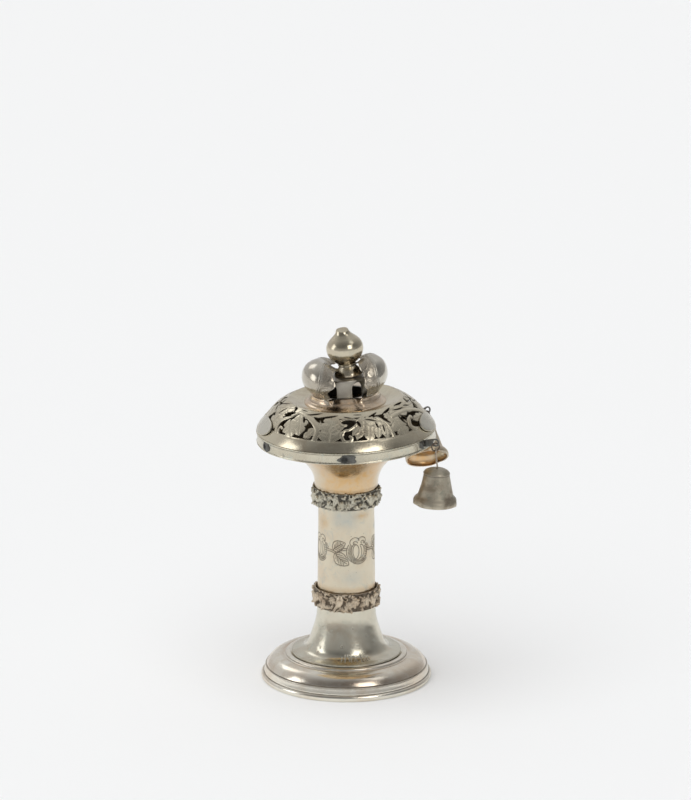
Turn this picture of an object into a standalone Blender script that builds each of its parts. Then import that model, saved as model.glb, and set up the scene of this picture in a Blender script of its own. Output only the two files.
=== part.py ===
"""Torah finial in silver: a stepped hollow foot, a flaring neck, an engraved stem between two cast
garland collars, an upper flare, a pierced mushroom canopy with a plain rim, two surviving gores of an
openwork crown around a small gallery, a turned knob, and two small bells on wire hooks.

Every size below is in millimetres and is turned into metres by MM. The turning axis stands at AXIS_X,
so that the origin is the middle of the bounding box's bottom."""

import math

import bmesh
import bpy
from mathutils import Matrix, Vector

MM = 0.001

# ---- places -------------------------------------------------------------------------------------
AXIS_X = -5.20          # the turning axis, from the middle of the bounding box
GAP = 0.3               # clearance between neighbouring solids
SEGMENTS = 26           # facets around the large turned pieces
SMALL_SEGMENTS = 16     # facets around the bells and the knob

# ---- foot ---------------------------------------------------------------------------------------
FOOT_R = 45.2           # outer bead
FOOT_HEM_IN = 43.0      # inner edge of the hem turned in under the foot
FOOT_BAND_LOW = (43.9, 3.4)
FOOT_BAND_HIGH = (42.7, 6.6)
CUSHION_LOW = (42.3, 7.4)
CUSHION_HIGH = (32.4, 13.0)
CUSHION_BULGE = 1.0
FOOT_STEP_R = 32.0
FOOT_TOP_IN = 27.4      # inner edge of the flat ring the neck's flange sits on
FOOT_TOP_Z = 13.8
FOOT_WALL = 1.0

# ---- lower neck, stem, upper flare --------------------------------------------------------------
WALL = 1.0
NECK_PROFILE = (        # radius, height down the outside: a steep trumpet easing on to a flat flange
    (15.3, 44.9), (15.4, 38.0), (15.7, 34.5), (16.3, 31.3), (17.2, 28.2), (18.2, 25.0), (19.3, 21.8),
    (20.25, 19.4), (21.3, 17.65), (23.0, 16.15), (25.6, 15.25), (29.0, 14.9))
STEM_LOW_R = 15.3
STEM_HIGH_R = 14.7
STEM_LOW_Z = 45.2
STEM_HIGH_Z = 100.9
FLARE_TOP_Z = 130.1
FLARE_TOP_R = 34.6
FLARE_WAIST_R = 16.6

# ---- garland collars: middle height, half height, outermost radius ---------------------------------
LOWER_COLLAR = (45.2, 6.1, 18.8)
UPPER_COLLAR = (100.9, 5.7, 19.1)
COLLAR_BUDS = 9
NECK_COLLAR_R = 15.5    # the neck where the lower collar hides its end

# ---- canopy -------------------------------------------------------------------------------------
CANOPY_TILT = math.radians(-1.4)   # the canopy sits askew on the stem, higher towards +X
RIM_R = 47.2
RIM_WALL = 0.9
RIM_LOW_Z = 131.0
RIM_HIGH_Z = 137.1
FLOOR_Z = 131.4
FLOOR_WALL = 0.8
DOME_WALL = 0.8
DOME_EDGE = (46.9, 137.9)
DOME_PROFILE = (        # radius, height down the outside of the dome from the dished top
    (0.0, 151.6), (21.0, 151.7), (25.5, 152.6), (28.2, 153.6), (29.6, 153.9), (31.8, 153.0),
    (35.0, 151.1), (38.0, 148.6), (40.9, 145.7), (43.5, 142.3), DOME_EDGE)
PIERCED_TOP, PIERCED_LOW = 29.9, 43.4   # radii between which the dome is pierced
SECTORS = 8            # repeats of the openwork around the dome

# attachment places around the rim, degrees from the front (-Y) towards +X
BELL_AZIMUTHS = (60.0, 127.0)
BROKEN_AZIMUTHS = (-64.0, 0.7, 186.0, -125.0)
PIN_HOLE_R = 0.55

# ---- side lappets: plain oval plates over the dome's edge -----------------------------------------
LAPPET_AZIMUTH = 77.0
LAPPET_HALF_ANGLE = 14.0
LAPPET_HALF_HEIGHT = 5.0
LAPPET_WALL = 0.9

# ---- crown --------------------------------------------------------------------------------------
CROWN_TILT = math.radians(-2.1)    # the crown sits askew on the canopy in its turn
CROWN_RING_PROFILE = ((13.1, 156.5), (17.8, 156.9), (18.1, 155.4), (18.8, 154.3), (19.9, 153.7), (20.3, 153.0))
CROWN_RING_WALL = 0.7
DRUM_R = 12.5
DRUM_WALL = 0.9
DRUM_LOW_Z = 152.5
DRUM_HIGH_Z = 166.0
WINDOW_WIDTH, WINDOW_LOW_Z, WINDOW_HIGH_Z = 6.6, 156.4, 164.6
WINDOW_AZIMUTHS = (34.0, -34.0, 146.0, -146.0)
GORE_WALL = 0.8
GORE_ARCH = (           # radius and height along the middle of a gore, from its foot over to the knob
    (18.0, 157.5), (19.3, 159.2), (21.7, 162.6), (22.6, 167.0), (21.5, 171.6), (18.6, 175.0),
    (14.2, 176.6), (10.6, 175.8), (8.3, 173.9), (7.3, 172.0))
GORES = (               # name, azimuth, how far it has sunk, half its angle at each row of the arch
    ("crown_gore_left", -84.0, 1.3, (55.0, 56.0, 62.0, 67.0, 69.0, 69.0, 68.0, 66.0, 64.0, 62.0)),
    ("crown_gore_right", 84.0, 0.0, (47.0, 48.0, 49.0, 52.0, 52.0, 50.0, 47.0, 43.0, 40.0)))
GORE_SHIFT = 0.6        # both gores stand a little to +X of the gallery
GORE_EDGE_IN = 0.18     # how much nearer the axis a gore's long edges lie than its middle
GORE_EDGE_DOWN = 4.5    # and how much lower they lie along the arch

# ---- knob ---------------------------------------------------------------------------------------
KNOB_TILT = math.radians(-5.0)     # the knob leans towards -X
KNOB_FOOT_X = 2.7
KNOB_FOOT_Z = 166.3
KNOB_PROFILE = (        # radius, height above the knob's foot, down the outside
    (0.0, 25.2), (3.0, 25.1), (3.9, 23.2), (5.8, 21.0), (7.7, 19.3), (9.1, 17.3), (9.75, 14.6),
    (9.5, 12.4), (8.4, 10.0), (6.2, 7.6), (4.5, 5.9), (4.8, 5.5), (4.3, 5.1), (5.0, 4.1), (6.2, 2.8),
    (7.2, 1.4), (7.4, 0.8), (7.4, 0.0), (0.0, 0.0))

# ---- bells --------------------------------------------------------------------------------------
BELL_WALL = 0.8
BELL_PROFILE = (        # radius, height above the lip, down the outside
    (0.0, 19.3), (3.6, 19.0), (6.1, 18.0), (6.8, 16.9), (7.0, 15.0), (7.8, 10.5),
    (9.1, 4.8), (11.2, 1.5), (11.6, 0.0))
FRONT_BELL_LIP = (46.4, -27.0, 103.8)   # middle of the front bell's mouth, from the turning axis
FRONT_BELL_LEAN = math.radians(3.0)
REAR_BELL_LIP = (42.9, 22.0, 113.4)
REAR_BELL_LEAN = math.radians(38.0)     # the rear bell is caught with its mouth swung to the front
REAR_BELL_SIDE_LEAN = math.radians(-10.0)   # and leans in behind the rim
WIRE_R = 0.4
RING_R = 2.05
RING_DROP = 0.4                         # the ring's wire rides low in the lug's eye
RING_SWINGS = (0.0, 0.0)                # how far each ring is swung outwards from hanging straight
RING_TWISTS = (math.radians(48.0), 0.0)
HOOK_LOOP_R = 1.1
LUG_HOLE = (53.9, 135.9)                # radius and height of a lug's eye
LUG_HOLE_R = 1.4
LUG_WALL = 0.8


# ---- the scene ----------------------------------------------------------------------------------
for old in list(bpy.data.objects):
    bpy.data.objects.remove(old, do_unlink=True)
parts = bpy.data.collections.new("torah_finial")
cutters = bpy.data.collections.new("cutters")
bpy.context.scene.collection.children.link(parts)
bpy.context.scene.collection.children.link(cutters)


def metal(name, colour, roughness):
    made = bpy.data.materials.new(name)
    made.use_nodes = True
    shader = made.node_tree.nodes["Principled BSDF"]
    shader.inputs["Base Color"].default_value = (*colour, 1.0)
    shader.inputs["Metallic"].default_value = 1.0
    shader.inputs["Roughness"].default_value = roughness
    made.diffuse_color = (*colour, 1.0)
    return made


def empty(name, place=(0.0, 0.0, 0.0), turn=(0.0, 0.0, 0.0), parent=None):
    made = bpy.data.objects.new(name, None)
    made.location = Vector(place) * MM
    made.rotation_euler = turn
    made.parent = parent
    parts.objects.link(made)
    return made


root = empty("axis", (AXIS_X, 0.0, 0.0))
canopy_seat = empty("canopy_seat", (0.0, 0.0, RIM_LOW_Z), (0.0, CANOPY_TILT, 0.0), root)
crown_seat = empty("crown_seat", (0.0, 0.0, DOME_PROFILE[0][1] - RIM_LOW_Z), (0.0, CROWN_TILT, 0.0), canopy_seat)
knob_seat = empty("knob_seat", (KNOB_FOOT_X, 0.0, KNOB_FOOT_Z - DOME_PROFILE[0][1]), (0.0, KNOB_TILT - CANOPY_TILT - CROWN_TILT, 0.0), crown_seat)


def link(name, mesh, material, parent=root, base_z=0.0, collection=None):
    made = bpy.data.objects.new(name, mesh)
    (collection or parts).objects.link(made)
    made.parent = parent
    made.location = (0.0, 0.0, -base_z * MM)
    if material is not None:
        mesh.materials.append(material)
    return made


def base_height(parent):
    """The height of a parent's origin before it was tilted, so that a piece can be drawn at its true height."""
    return {canopy_seat: RIM_LOW_Z, crown_seat: DOME_PROFILE[0][1], knob_seat: KNOB_FOOT_Z}.get(parent, 0.0)


def turned(name, profile, material, parent=root, closed=False, wall=0.0, segments=SEGMENTS, height=None):
    """A turned piece: a profile of radii and heights, run down its outer side, swept by Screw, with a wall."""
    mesh = bpy.data.meshes.new(name)
    points = [(r * MM, 0.0, z * MM) for r, z in profile]
    edges = [(i, i + 1) for i in range(len(points) - 1)]
    if closed:
        edges.append((len(points) - 1, 0))
    mesh.from_pydata(points, edges, [])
    made = link(name, mesh, material, parent, base_height(parent) if height is None else height)
    sweep = made.modifiers.new("sweep", "SCREW")
    sweep.axis = "Z"
    sweep.angle = 2.0 * math.pi
    sweep.steps = sweep.render_steps = segments
    sweep.use_merge_vertices = True
    sweep.merge_threshold = 0.00001
    if wall:
        shell = made.modifiers.new("wall", "SOLIDIFY")
        shell.thickness = wall * MM
        shell.offset = -1.0
        shell.use_even_offset = True
        shell.use_rim = True
    return made


def settle(made, angle=35.0):
    """Fix a piece's evaluated mesh as its own mesh, shaded smooth up to a sharp angle."""
    bpy.context.view_layer.update()
    graph = bpy.context.evaluated_depsgraph_get()
    mesh = bpy.data.meshes.new_from_object(made.evaluated_get(graph))
    made.modifiers.clear()
    old = made.data
    made.data = mesh
    if isinstance(old, bpy.types.Mesh):
        bpy.data.meshes.remove(old)
    mesh.name = made.name
    mesh.shade_smooth()
    mesh.set_sharp_from_angle(angle=math.radians(angle))
    return made


def cut(made, tool, operation="DIFFERENCE"):
    tool.hide_render = True
    tool.display_type = "WIRE"
    step = made.modifiers.new("cut", "BOOLEAN")
    step.operation = operation
    step.solver = "EXACT"
    step.object = tool


def place_on(azimuth):
    """Unit vector pointing out from the axis at an azimuth in degrees from the front, -Y, towards +X."""
    a = math.radians(azimuth)
    return Vector((math.sin(a), -math.cos(a), 0.0))


def arc_between(a, b, bulge, count):
    """Points strictly between a and b on an arc that stands out by bulge to the right of a to b."""
    ax, az = a
    bx, bz = b
    dx, dz = bx - ax, bz - az
    length = math.hypot(dx, dz)
    nx, nz = -dz / length, dx / length
    out = []
    for i in range(1, count + 1):
        t = i / (count + 1)
        h = 4.0 * bulge * t * (1.0 - t)
        out.append((ax + dx * t + nx * h, az + dz * t + nz * h))
    return out


# ---- foot ---------------------------------------------------------------------------------------
silver_foot = metal("foot_silver", (0.62, 0.56, 0.50), 0.22)
cushion = arc_between(CUSHION_HIGH, CUSHION_LOW, CUSHION_BULGE, 3)
inner_low = (FOOT_HEM_IN, 0.9)
inner_side = (CUSHION_LOW[0] - 1.1, CUSHION_LOW[1] - 0.9)
inner_high = (FOOT_STEP_R - 0.5, CUSHION_HIGH[1] - 1.1)
foot_profile = [
    (FOOT_TOP_IN, FOOT_TOP_Z), (FOOT_STEP_R - 0.15, FOOT_TOP_Z), (FOOT_STEP_R, FOOT_TOP_Z - 0.5), CUSHION_HIGH,
    *cushion, CUSHION_LOW, (41.9, 7.0), FOOT_BAND_HIGH, FOOT_BAND_LOW, (43.6, 3.0),
    (44.6, 2.7), (FOOT_R, 1.5), (FOOT_R - 0.4, 0.0), (FOOT_HEM_IN, 0.0), inner_low,
    inner_side, *arc_between(inner_side, inner_high, -CUSHION_BULGE, 1), inner_high, (FOOT_TOP_IN, FOOT_TOP_Z - 0.9)]
foot = settle(turned("foot", foot_profile, silver_foot, closed=True))

# ---- lower neck -----------------------------------------------------------------------------------
silver_neck = metal("neck_silver", (0.60, 0.57, 0.50), 0.25)

neck = settle(turned("lower_neck", list(NECK_PROFILE), silver_neck, wall=0.8))

# ---- stem -----------------------------------------------------------------------------------------
silver_stem = metal("stem_silver", (0.63, 0.59, 0.50), 0.35)
stem_profile = [(STEM_HIGH_R, STEM_HIGH_Z), (STEM_LOW_R, STEM_LOW_Z)]
stem = settle(turned("stem", stem_profile, silver_stem, wall=WALL))

# ---- upper flare ----------------------------------------------------------------------------------
silver_flare = metal("flare_silver", (0.68, 0.58, 0.42), 0.22)


def flare_radius(z):
    """Slowly opening above the collar, then a steady cone up to the canopy's floor."""
    low, high = 103.0, 117.0
    if z <= low:
        return STEM_HIGH_R + (FLARE_WAIST_R - STEM_HIGH_R) * max(0.0, (z - STEM_HIGH_Z) / (low - STEM_HIGH_Z))
    if z <= high:
        return FLARE_WAIST_R + 4.0 * ((z - low) / (high - low)) ** 3.0
    t = (z - high) / (FLARE_TOP_Z - high)
    start = FLARE_WAIST_R + 4.0
    return start + (FLARE_TOP_R - start) * (0.85 * t + 0.15 * t * t)


flare_heights = [FLARE_TOP_Z, 124.0, 119.5, 117.0, 114.5, 111.5, 107.0, STEM_HIGH_Z + GAP]
flare_profile = [(flare_radius(z), z) for z in flare_heights]
flare = settle(turned("upper_flare", flare_profile, silver_flare, wall=0.9))
for vertex in flare.data.vertices:     # its mouth is bent to follow the canopy's slant
    share = max(0.0, (vertex.co.z / MM - 103.0) / (FLARE_TOP_Z - 103.0))
    vertex.co.z += -math.tan(CANOPY_TILT) * vertex.co.x * share

# ---- garland collars --------------------------------------------------------------------------------
cast_low = metal("lower_collar_cast_silver", (0.40, 0.33, 0.26), 0.35)
cast_high = metal("upper_collar_cast_silver", (0.36, 0.33, 0.28), 0.35)


def garland(name, sizes, material, turn):
    """A ring of blossoms and leaves: a torus of flattened section whose outer side swells into buds."""
    middle, half, outer = sizes
    inner = max(STEM_LOW_R, FLARE_WAIST_R if middle > 90.0 else NECK_COLLAR_R) + GAP
    minor = (outer - 0.7 - inner) / 2.0
    bpy.ops.mesh.primitive_torus_add(major_radius=(inner + minor) * MM, minor_radius=minor * MM, major_segments=36, minor_segments=6)
    made = bpy.context.active_object
    made.name = name
    for home in list(made.users_collection):
        home.objects.unlink(made)
    parts.objects.link(made)
    made.parent = root
    made.data.materials.append(material)
    for vertex in made.data.vertices:
        x, y, z = vertex.co / MM
        r, a = math.hypot(x, y), math.atan2(y, x)
        out = max(0.0, (r - inner - minor) / minor)
        bud = math.cos(COLLAR_BUDS * a + turn)
        leaf = math.cos(2 * COLLAR_BUDS * a + turn + (1.6 if z > 0.0 else 0.0))
        r += out * (0.45 * bud + 0.35 * leaf)
        z = z / minor * (half - 0.35) * (1.0 + 0.06 * math.cos(COLLAR_BUDS * a + turn + 1.0) * min(1.0, abs(z) / minor))
        vertex.co = Vector((r * math.cos(a), r * math.sin(a), z + middle)) * MM
    made.data.shade_smooth()
    made.data.set_sharp_from_angle(angle=math.radians(40.0))
    return made


lower_collar = garland("lower_collar", LOWER_COLLAR, cast_low, 0.4)
upper_collar = garland("upper_collar", UPPER_COLLAR, cast_high, 1.9)

# ---- canopy floor and rim band ------------------------------------------------------------------------
gilt = metal("gilt_floor", (0.80, 0.50, 0.18), 0.3)
silver_rim = metal("rim_silver", (0.58, 0.57, 0.50), 0.28)
silver_dome = metal("dome_silver", (0.55, 0.50, 0.43), 0.3)
floor_profile = [(0.0, FLOOR_Z + FLOOR_WALL), (46.0, FLOOR_Z + FLOOR_WALL), (46.0, FLOOR_Z), (0.0, FLOOR_Z)]
canopy_floor = settle(turned("canopy_floor", floor_profile, gilt, canopy_seat))

rim_profile = [(RIM_R - RIM_WALL, RIM_HIGH_Z), (RIM_R + 0.05, RIM_HIGH_Z), (RIM_R + 0.25, RIM_HIGH_Z - 0.4),
               (RIM_R - 0.05, RIM_HIGH_Z - 0.8), (RIM_R - 0.05, RIM_LOW_Z + 0.6), (RIM_R + 0.1, RIM_LOW_Z),
               (RIM_R - RIM_WALL, RIM_LOW_Z)]
rim = turned("rim_band", rim_profile, silver_rim, canopy_seat, closed=True)


def lug(azimuth):
    """A bell's lug: a flat eye standing out from the rim, drawn as an outline and given thickness."""
    eye_r, eye_z = LUG_HOLE
    outline = [(RIM_R - 0.5, RIM_LOW_Z + 1.6), (RIM_R + 1.6, RIM_LOW_Z + 1.9)]
    for i in range(9):
        a = math.radians(-110.0 + 205.0 * i / 8.0)
        outline.append((eye_r + 2.2 * math.cos(a), eye_z + 2.2 * math.sin(a)))
    outline += [(RIM_R + 1.6, RIM_HIGH_Z - 0.4), (RIM_R - 0.5, RIM_HIGH_Z - 0.9)]
    hole = [(eye_r + LUG_HOLE_R * math.cos(a), eye_z + LUG_HOLE_R * math.sin(a))
            for a in (2.0 * math.pi * i / 10.0 for i in range(10))]
    curve = bpy.data.curves.new("lug_outline", "CURVE")
    curve.dimensions = "2D"
    curve.fill_mode = "BOTH"
    curve.extrude = LUG_WALL / 2.0 * MM
    for ring in (outline, hole):
        line = curve.splines.new("POLY")
        line.points.add(len(ring) - 1)
        for point, (r, z) in zip(line.points, ring):
            point.co = (r * MM, (z - RIM_LOW_Z) * MM, 0.0, 1.0)
        line.use_cyclic_u = True
    drawn = bpy.data.objects.new("lug_outline", curve)
    cutters.objects.link(drawn)
    drawn.parent = canopy_seat
    drawn.matrix_local = Matrix.Rotation(math.radians(azimuth - 90.0), 4, "Z") @ Matrix.Rotation(math.radians(90.0), 4, "X")
    return drawn


def as_mesh(drawn, name):
    """A curve made a closed mesh object in the same place, and the curve removed."""
    bpy.context.view_layer.update()
    graph = bpy.context.evaluated_depsgraph_get()
    mesh = bpy.data.meshes.new_from_object(drawn.evaluated_get(graph))
    shape = bmesh.new()
    shape.from_mesh(mesh)
    bmesh.ops.remove_doubles(shape, verts=shape.verts, dist=0.000001)
    bmesh.ops.recalc_face_normals(shape, faces=shape.faces)
    shape.to_mesh(mesh)
    shape.free()
    made = bpy.data.objects.new(name, mesh)
    cutters.objects.link(made)
    made.parent = drawn.parent
    made.matrix_world = drawn.matrix_world.copy()
    curve = drawn.data
    bpy.data.objects.remove(drawn, do_unlink=True)
    bpy.data.curves.remove(curve)
    return made


for number, azimuth in enumerate(BELL_AZIMUTHS):
    cut(rim, as_mesh(lug(azimuth), f"lug_{number}"), "UNION")


def pin(name, centre, direction, radius, length, sides=8, parent=canopy_seat):
    shape = bmesh.new()
    bmesh.ops.create_cone(shape, cap_ends=True, segments=sides, radius1=radius * MM, radius2=radius * MM, depth=length * MM)
    mesh = bpy.data.meshes.new(name)
    shape.to_mesh(mesh)
    shape.free()
    made = bpy.data.objects.new(name, mesh)
    cutters.objects.link(made)
    made.parent = parent
    made.matrix_local = Matrix.Translation(Vector(centre) * MM) @ direction.to_track_quat("Z", "Y").to_matrix().to_4x4()
    return made


for number, azimuth in enumerate(BROKEN_AZIMUTHS):
    out = place_on(azimuth)
    middle = out * RIM_R
    cut(rim, pin(f"pin_hole_{number}", (middle.x, middle.y, 2.6), out, PIN_HOLE_R, 6.0))
settle(rim, 30.0)

# ---- dome -----------------------------------------------------------------------------------------
dome = turned("pierced_dome", list(DOME_PROFILE), silver_dome, canopy_seat, wall=DOME_WALL)


def dome_point(radius):
    """Height, and the outward normal's radial and upward parts, of the dome at a radius."""
    for (r0, z0), (r1, z1) in zip(DOME_PROFILE, DOME_PROFILE[1:]):
        if radius <= r1:
            t = (radius - r0) / (r1 - r0)
            dr, dz = r1 - r0, z1 - z0
            n = math.hypot(dr, dz)
            return z0 + t * dz, -dz / n, dr / n
    raise ValueError(radius)


def leaf_gap(length, width, curl, count=4):
    """Outline of a gap between two leaves: a lens, pointed at one end and bent sideways by curl."""
    side = []
    for i in range(count + 1):
        t = i / count
        half = width / 2.0 * math.sin(math.pi * t) ** 0.8 * (1.15 - 0.3 * t)
        side.append((length * (t - 0.5), curl * 4.0 * t * (1.0 - t), half))
    outline = [(x, y + h) for x, y, h in side[1:-1:2]]
    back = [(x, y - h) for x, y, h in reversed(side[1:-1:2])]
    return [(side[0][0], side[0][1])] + outline + [(side[-1][0], side[-1][1])] + back


# each gap: turn within a sector (share), radius on the dome, length, width, curl, slant in degrees
GAPS = (
    (0.22, 42.2, 11.0, 1.7, 0.2, 2.0),       # long gaps along the lower border
    (0.72, 42.0, 9.0, 2.0, 0.15, -4.0),
    (0.02, 39.0, 5.4, 1.6, 0.7, 66.0),       # beside a leaf's edge
    (0.46, 38.2, 6.4, 1.7, -0.9, 114.0),
    (0.76, 36.6, 4.8, 1.8, 0.9, 35.0),       # inside a scroll
    (0.24, 33.6, 6.4, 1.1, 0.5, -14.0),      # slit below the plain top
)


def openwork():
    """One cutter for the whole dome: every gap as a short flat prism standing through the sheet."""
    whole = bmesh.new()
    for sector in range(SECTORS):
        for share, radius, length, width, curl, slant in GAPS:
            azimuth = 360.0 / SECTORS * (sector + share + 0.035 * math.sin(2.4 * sector))
            height, n_out, n_up = dome_point(radius)
            out = place_on(azimuth)
            normal = out * n_out + Vector((0.0, 0.0, n_up))
            along = Vector((0.0, 0.0, 1.0)).cross(out).normalized()
            down = along.cross(normal).normalized()
            turn = math.radians(slant)
            first = along * math.cos(turn) + down * math.sin(turn)
            second = normal.cross(first).normalized()
            centre = out * radius + Vector((0.0, 0.0, height - RIM_LOW_Z))
            ring = leaf_gap(length, width, curl)
            low = [whole.verts.new((centre + first * x + second * y - normal * 2.2) * MM) for x, y in ring]
            face = whole.faces.new(low)
            raised = bmesh.ops.extrude_face_region(whole, geom=[face])
            bmesh.ops.translate(whole, verts=[g for g in raised["geom"] if isinstance(g, bmesh.types.BMVert)], vec=normal * 3.6 * MM)
    bmesh.ops.recalc_face_normals(whole, faces=whole.faces)
    mesh = bpy.data.meshes.new("openwork")
    whole.to_mesh(mesh)
    whole.free()
    made = bpy.data.objects.new("openwork", mesh)
    cutters.objects.link(made)
    made.parent = canopy_seat
    return made


cut(dome, openwork())
settle(dome)

# ---- side lappets -----------------------------------------------------------------------------------
lappet_silver = metal("lappet_silver", (0.66, 0.63, 0.56), 0.25)


def lappet(name, azimuth):
    """A plain oval plate that lies on the dome's slope, just above the dome's edge."""
    shape = bmesh.new()
    bmesh.ops.create_circle(shape, cap_ends=False, segments=18, radius=1.0)
    rim_edges = list(shape.edges)
    middle = bmesh.ops.extrude_edge_only(shape, edges=rim_edges)
    verts = [g for g in middle["geom"] if isinstance(g, bmesh.types.BMVert)]
    bmesh.ops.scale(shape, verts=verts, vec=(0.55, 0.55, 1.0))
    edges = [g for g in middle["geom"] if isinstance(g, bmesh.types.BMEdge)]
    bmesh.ops.contextual_create(shape, geom=edges)
    bmesh.ops.poke(shape, faces=[f for f in shape.faces if len(f.verts) > 4])
    table = [(r, z) for r, z in DOME_PROFILE if r >= 36.0]
    lengths = [0.0]
    for (r0, z0), (r1, z1) in zip(table, table[1:]):
        lengths.append(lengths[-1] + math.hypot(r1 - r0, z1 - z0))
    centre_s = lengths[-1] - LAPPET_HALF_HEIGHT - 0.2
    for vertex in shape.verts:
        u, v = vertex.co.x, vertex.co.y
        s = centre_s - v * LAPPET_HALF_HEIGHT
        for k in range(len(table) - 1):
            if s <= lengths[k + 1] or k == len(table) - 2:
                t = (s - lengths[k]) / (lengths[k + 1] - lengths[k])
                r = table[k][0] + t * (table[k + 1][0] - table[k][0])
                z = table[k][1] + t * (table[k + 1][1] - table[k][1])
                break
        _, n_out, n_up = dome_point(min(r, DOME_EDGE[0] - 0.05))
        lift = 0.55 + 0.15 * max(0.0, (v + 0.4) / 1.4) ** 1.5 + 0.25 * (1.0 - u * u - v * v)
        out = place_on(azimuth + math.copysign(1.0, azimuth) * u * LAPPET_HALF_ANGLE)
        vertex.co = (out * (r + n_out * lift) + Vector((0.0, 0.0, z + n_up * lift - RIM_LOW_Z))) * MM
    bmesh.ops.recalc_face_normals(shape, faces=shape.faces)
    outward = place_on(azimuth)
    if sum(f.normal.dot(outward) for f in shape.faces) < 0.0:
        bmesh.ops.reverse_faces(shape, faces=shape.faces)
    mesh = bpy.data.meshes.new(name)
    shape.to_mesh(mesh)
    shape.free()
    made = link(name, mesh, lappet_silver, canopy_seat)
    shell = made.modifiers.new("wall", "SOLIDIFY")
    shell.thickness = LAPPET_WALL * MM
    shell.offset = 1.0
    shell.use_even_offset = True
    return settle(made)


lappet("side_lappet_left", -LAPPET_AZIMUTH)
lappet("side_lappet_right", LAPPET_AZIMUTH)

# ---- crown: foot ring, gallery drum, gores --------------------------------------------------------------
gilt_ring = metal("crown_ring_silver_gilt", (0.66, 0.52, 0.36), 0.3)
drum_silver = metal("gallery_silver", (0.45, 0.42, 0.37), 0.35)
gore_silver = metal("gore_silver", (0.56, 0.51, 0.45), 0.25)
settle(turned("crown_ring", list(CROWN_RING_PROFILE), gilt_ring, crown_seat, wall=CROWN_RING_WALL, segments=20))

drum = turned("gallery_drum", [(0.0, DRUM_HIGH_Z), (DRUM_R, DRUM_HIGH_Z), (DRUM_R, DRUM_LOW_Z)], drum_silver, crown_seat, wall=DRUM_WALL, segments=24)


def window(azimuth):
    """A window's cutter: an upright rounded outline pushed through the gallery's wall."""
    half, low, high = WINDOW_WIDTH / 2.0, WINDOW_LOW_Z, WINDOW_HIGH_Z
    base = DOME_PROFILE[0][1]
    outline = [(-half, low - base), (half, low - base)]
    for i in range(7):
        a = math.pi * i / 6.0
        outline.append((half * math.cos(a), high - half - base + half * math.sin(a)))
    curve = bpy.data.curves.new("window", "CURVE")
    curve.dimensions = "2D"
    curve.fill_mode = "BOTH"
    curve.extrude = 2.5 * MM
    line = curve.splines.new("POLY")
    line.points.add(len(outline) - 1)
    for point, (x, z) in zip(line.points, outline):
        point.co = (x * MM, z * MM, 0.0, 1.0)
    line.use_cyclic_u = True
    drawn = bpy.data.objects.new("window", curve)
    cutters.objects.link(drawn)
    drawn.parent = crown_seat
    drawn.matrix_local = Matrix.Rotation(math.radians(azimuth), 4, "Z") @ Matrix.Translation((0.0, -DRUM_R * MM, 0.0)) @ Matrix.Rotation(math.radians(90.0), 4, "X")
    return drawn


for number, azimuth in enumerate(WINDOW_AZIMUTHS):
    cut(drum, as_mesh(window(azimuth), f"window_{number}"))
settle(drum, 30.0)


def gore(name, azimuth, sunk, half_angles):
    """One puffed gore of the crown: a sheet that rises from the ring, swells outwards and arches over to the knob."""
    columns, rows = 9, len(half_angles)
    shape = bmesh.new()
    bmesh.ops.create_grid(shape, x_segments=columns - 1, y_segments=rows - 1, size=1.0)
    base = DOME_PROFILE[0][1]
    for vertex in shape.verts:
        u = (vertex.co.y + 1.0) / 2.0 * (rows - 1)
        v = vertex.co.x
        k = min(rows - 1, int(round(u)))
        r, z = GORE_ARCH[k]
        swell = math.sin(math.pi * k / (rows - 1))
        edge = abs(v) ** 2.2
        r_here = r * (1.0 - GORE_EDGE_IN * edge * swell)
        z_here = z - GORE_EDGE_DOWN * edge * swell * min(1.0, max(0.0, (k - 1.5) / 2.5)) - sunk * min(1.0, k / 5.0)
        out = place_on(azimuth + v * half_angles[k])
        vertex.co = (out * r_here + Vector((GORE_SHIFT, 0.0, z_here - base))) * MM
    bmesh.ops.recalc_face_normals(shape, faces=shape.faces)
    outward = place_on(azimuth)
    if sum(f.normal.dot(outward) * f.calc_area() for f in shape.faces) < 0.0:
        bmesh.ops.reverse_faces(shape, faces=shape.faces)
    mesh = bpy.data.meshes.new(name)
    shape.to_mesh(mesh)
    shape.free()
    made = link(name, mesh, gore_silver, crown_seat)
    shell = made.modifiers.new("wall", "SOLIDIFY")
    shell.thickness = GORE_WALL * MM
    shell.offset = -1.0
    shell.use_even_offset = True
    return settle(made)


for name, azimuth, sunk, half_angles in GORES:
    gore(name, azimuth, sunk, half_angles)

# ---- knob -----------------------------------------------------------------------------------------
knob_silver = metal("knob_silver", (0.52, 0.48, 0.42), 0.2)
knob = settle(turned("knob", [(r, z + KNOB_FOOT_Z) for r, z in KNOB_PROFILE], knob_silver, knob_seat, segments=SMALL_SEGMENTS))

# ---- bells ----------------------------------------------------------------------------------------
bell_metal = metal("bell_oxidised", (0.24, 0.21, 0.17), 0.45)
rear_bell_metal = metal("rear_bell_gilt_inside", (0.62, 0.42, 0.20), 0.35)
wire_metal = metal("wire_iron", (0.16, 0.13, 0.11), 0.5)


def bell(name, lip, turn, material):
    seat = empty(f"{name}_seat", lip, turn, root)
    return settle(turned(name, list(BELL_PROFILE), material, seat, wall=BELL_WALL, segments=SMALL_SEGMENTS, height=0.0), 40.0)


FRONT_TURN = (0.0, FRONT_BELL_LEAN, 0.0)
REAR_TURN = (-REAR_BELL_LEAN, REAR_BELL_SIDE_LEAN, 0.0)
bell("bell_front", FRONT_BELL_LIP, FRONT_TURN, bell_metal)
bell("bell_rear", REAR_BELL_LIP, REAR_TURN, rear_bell_metal)


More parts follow.
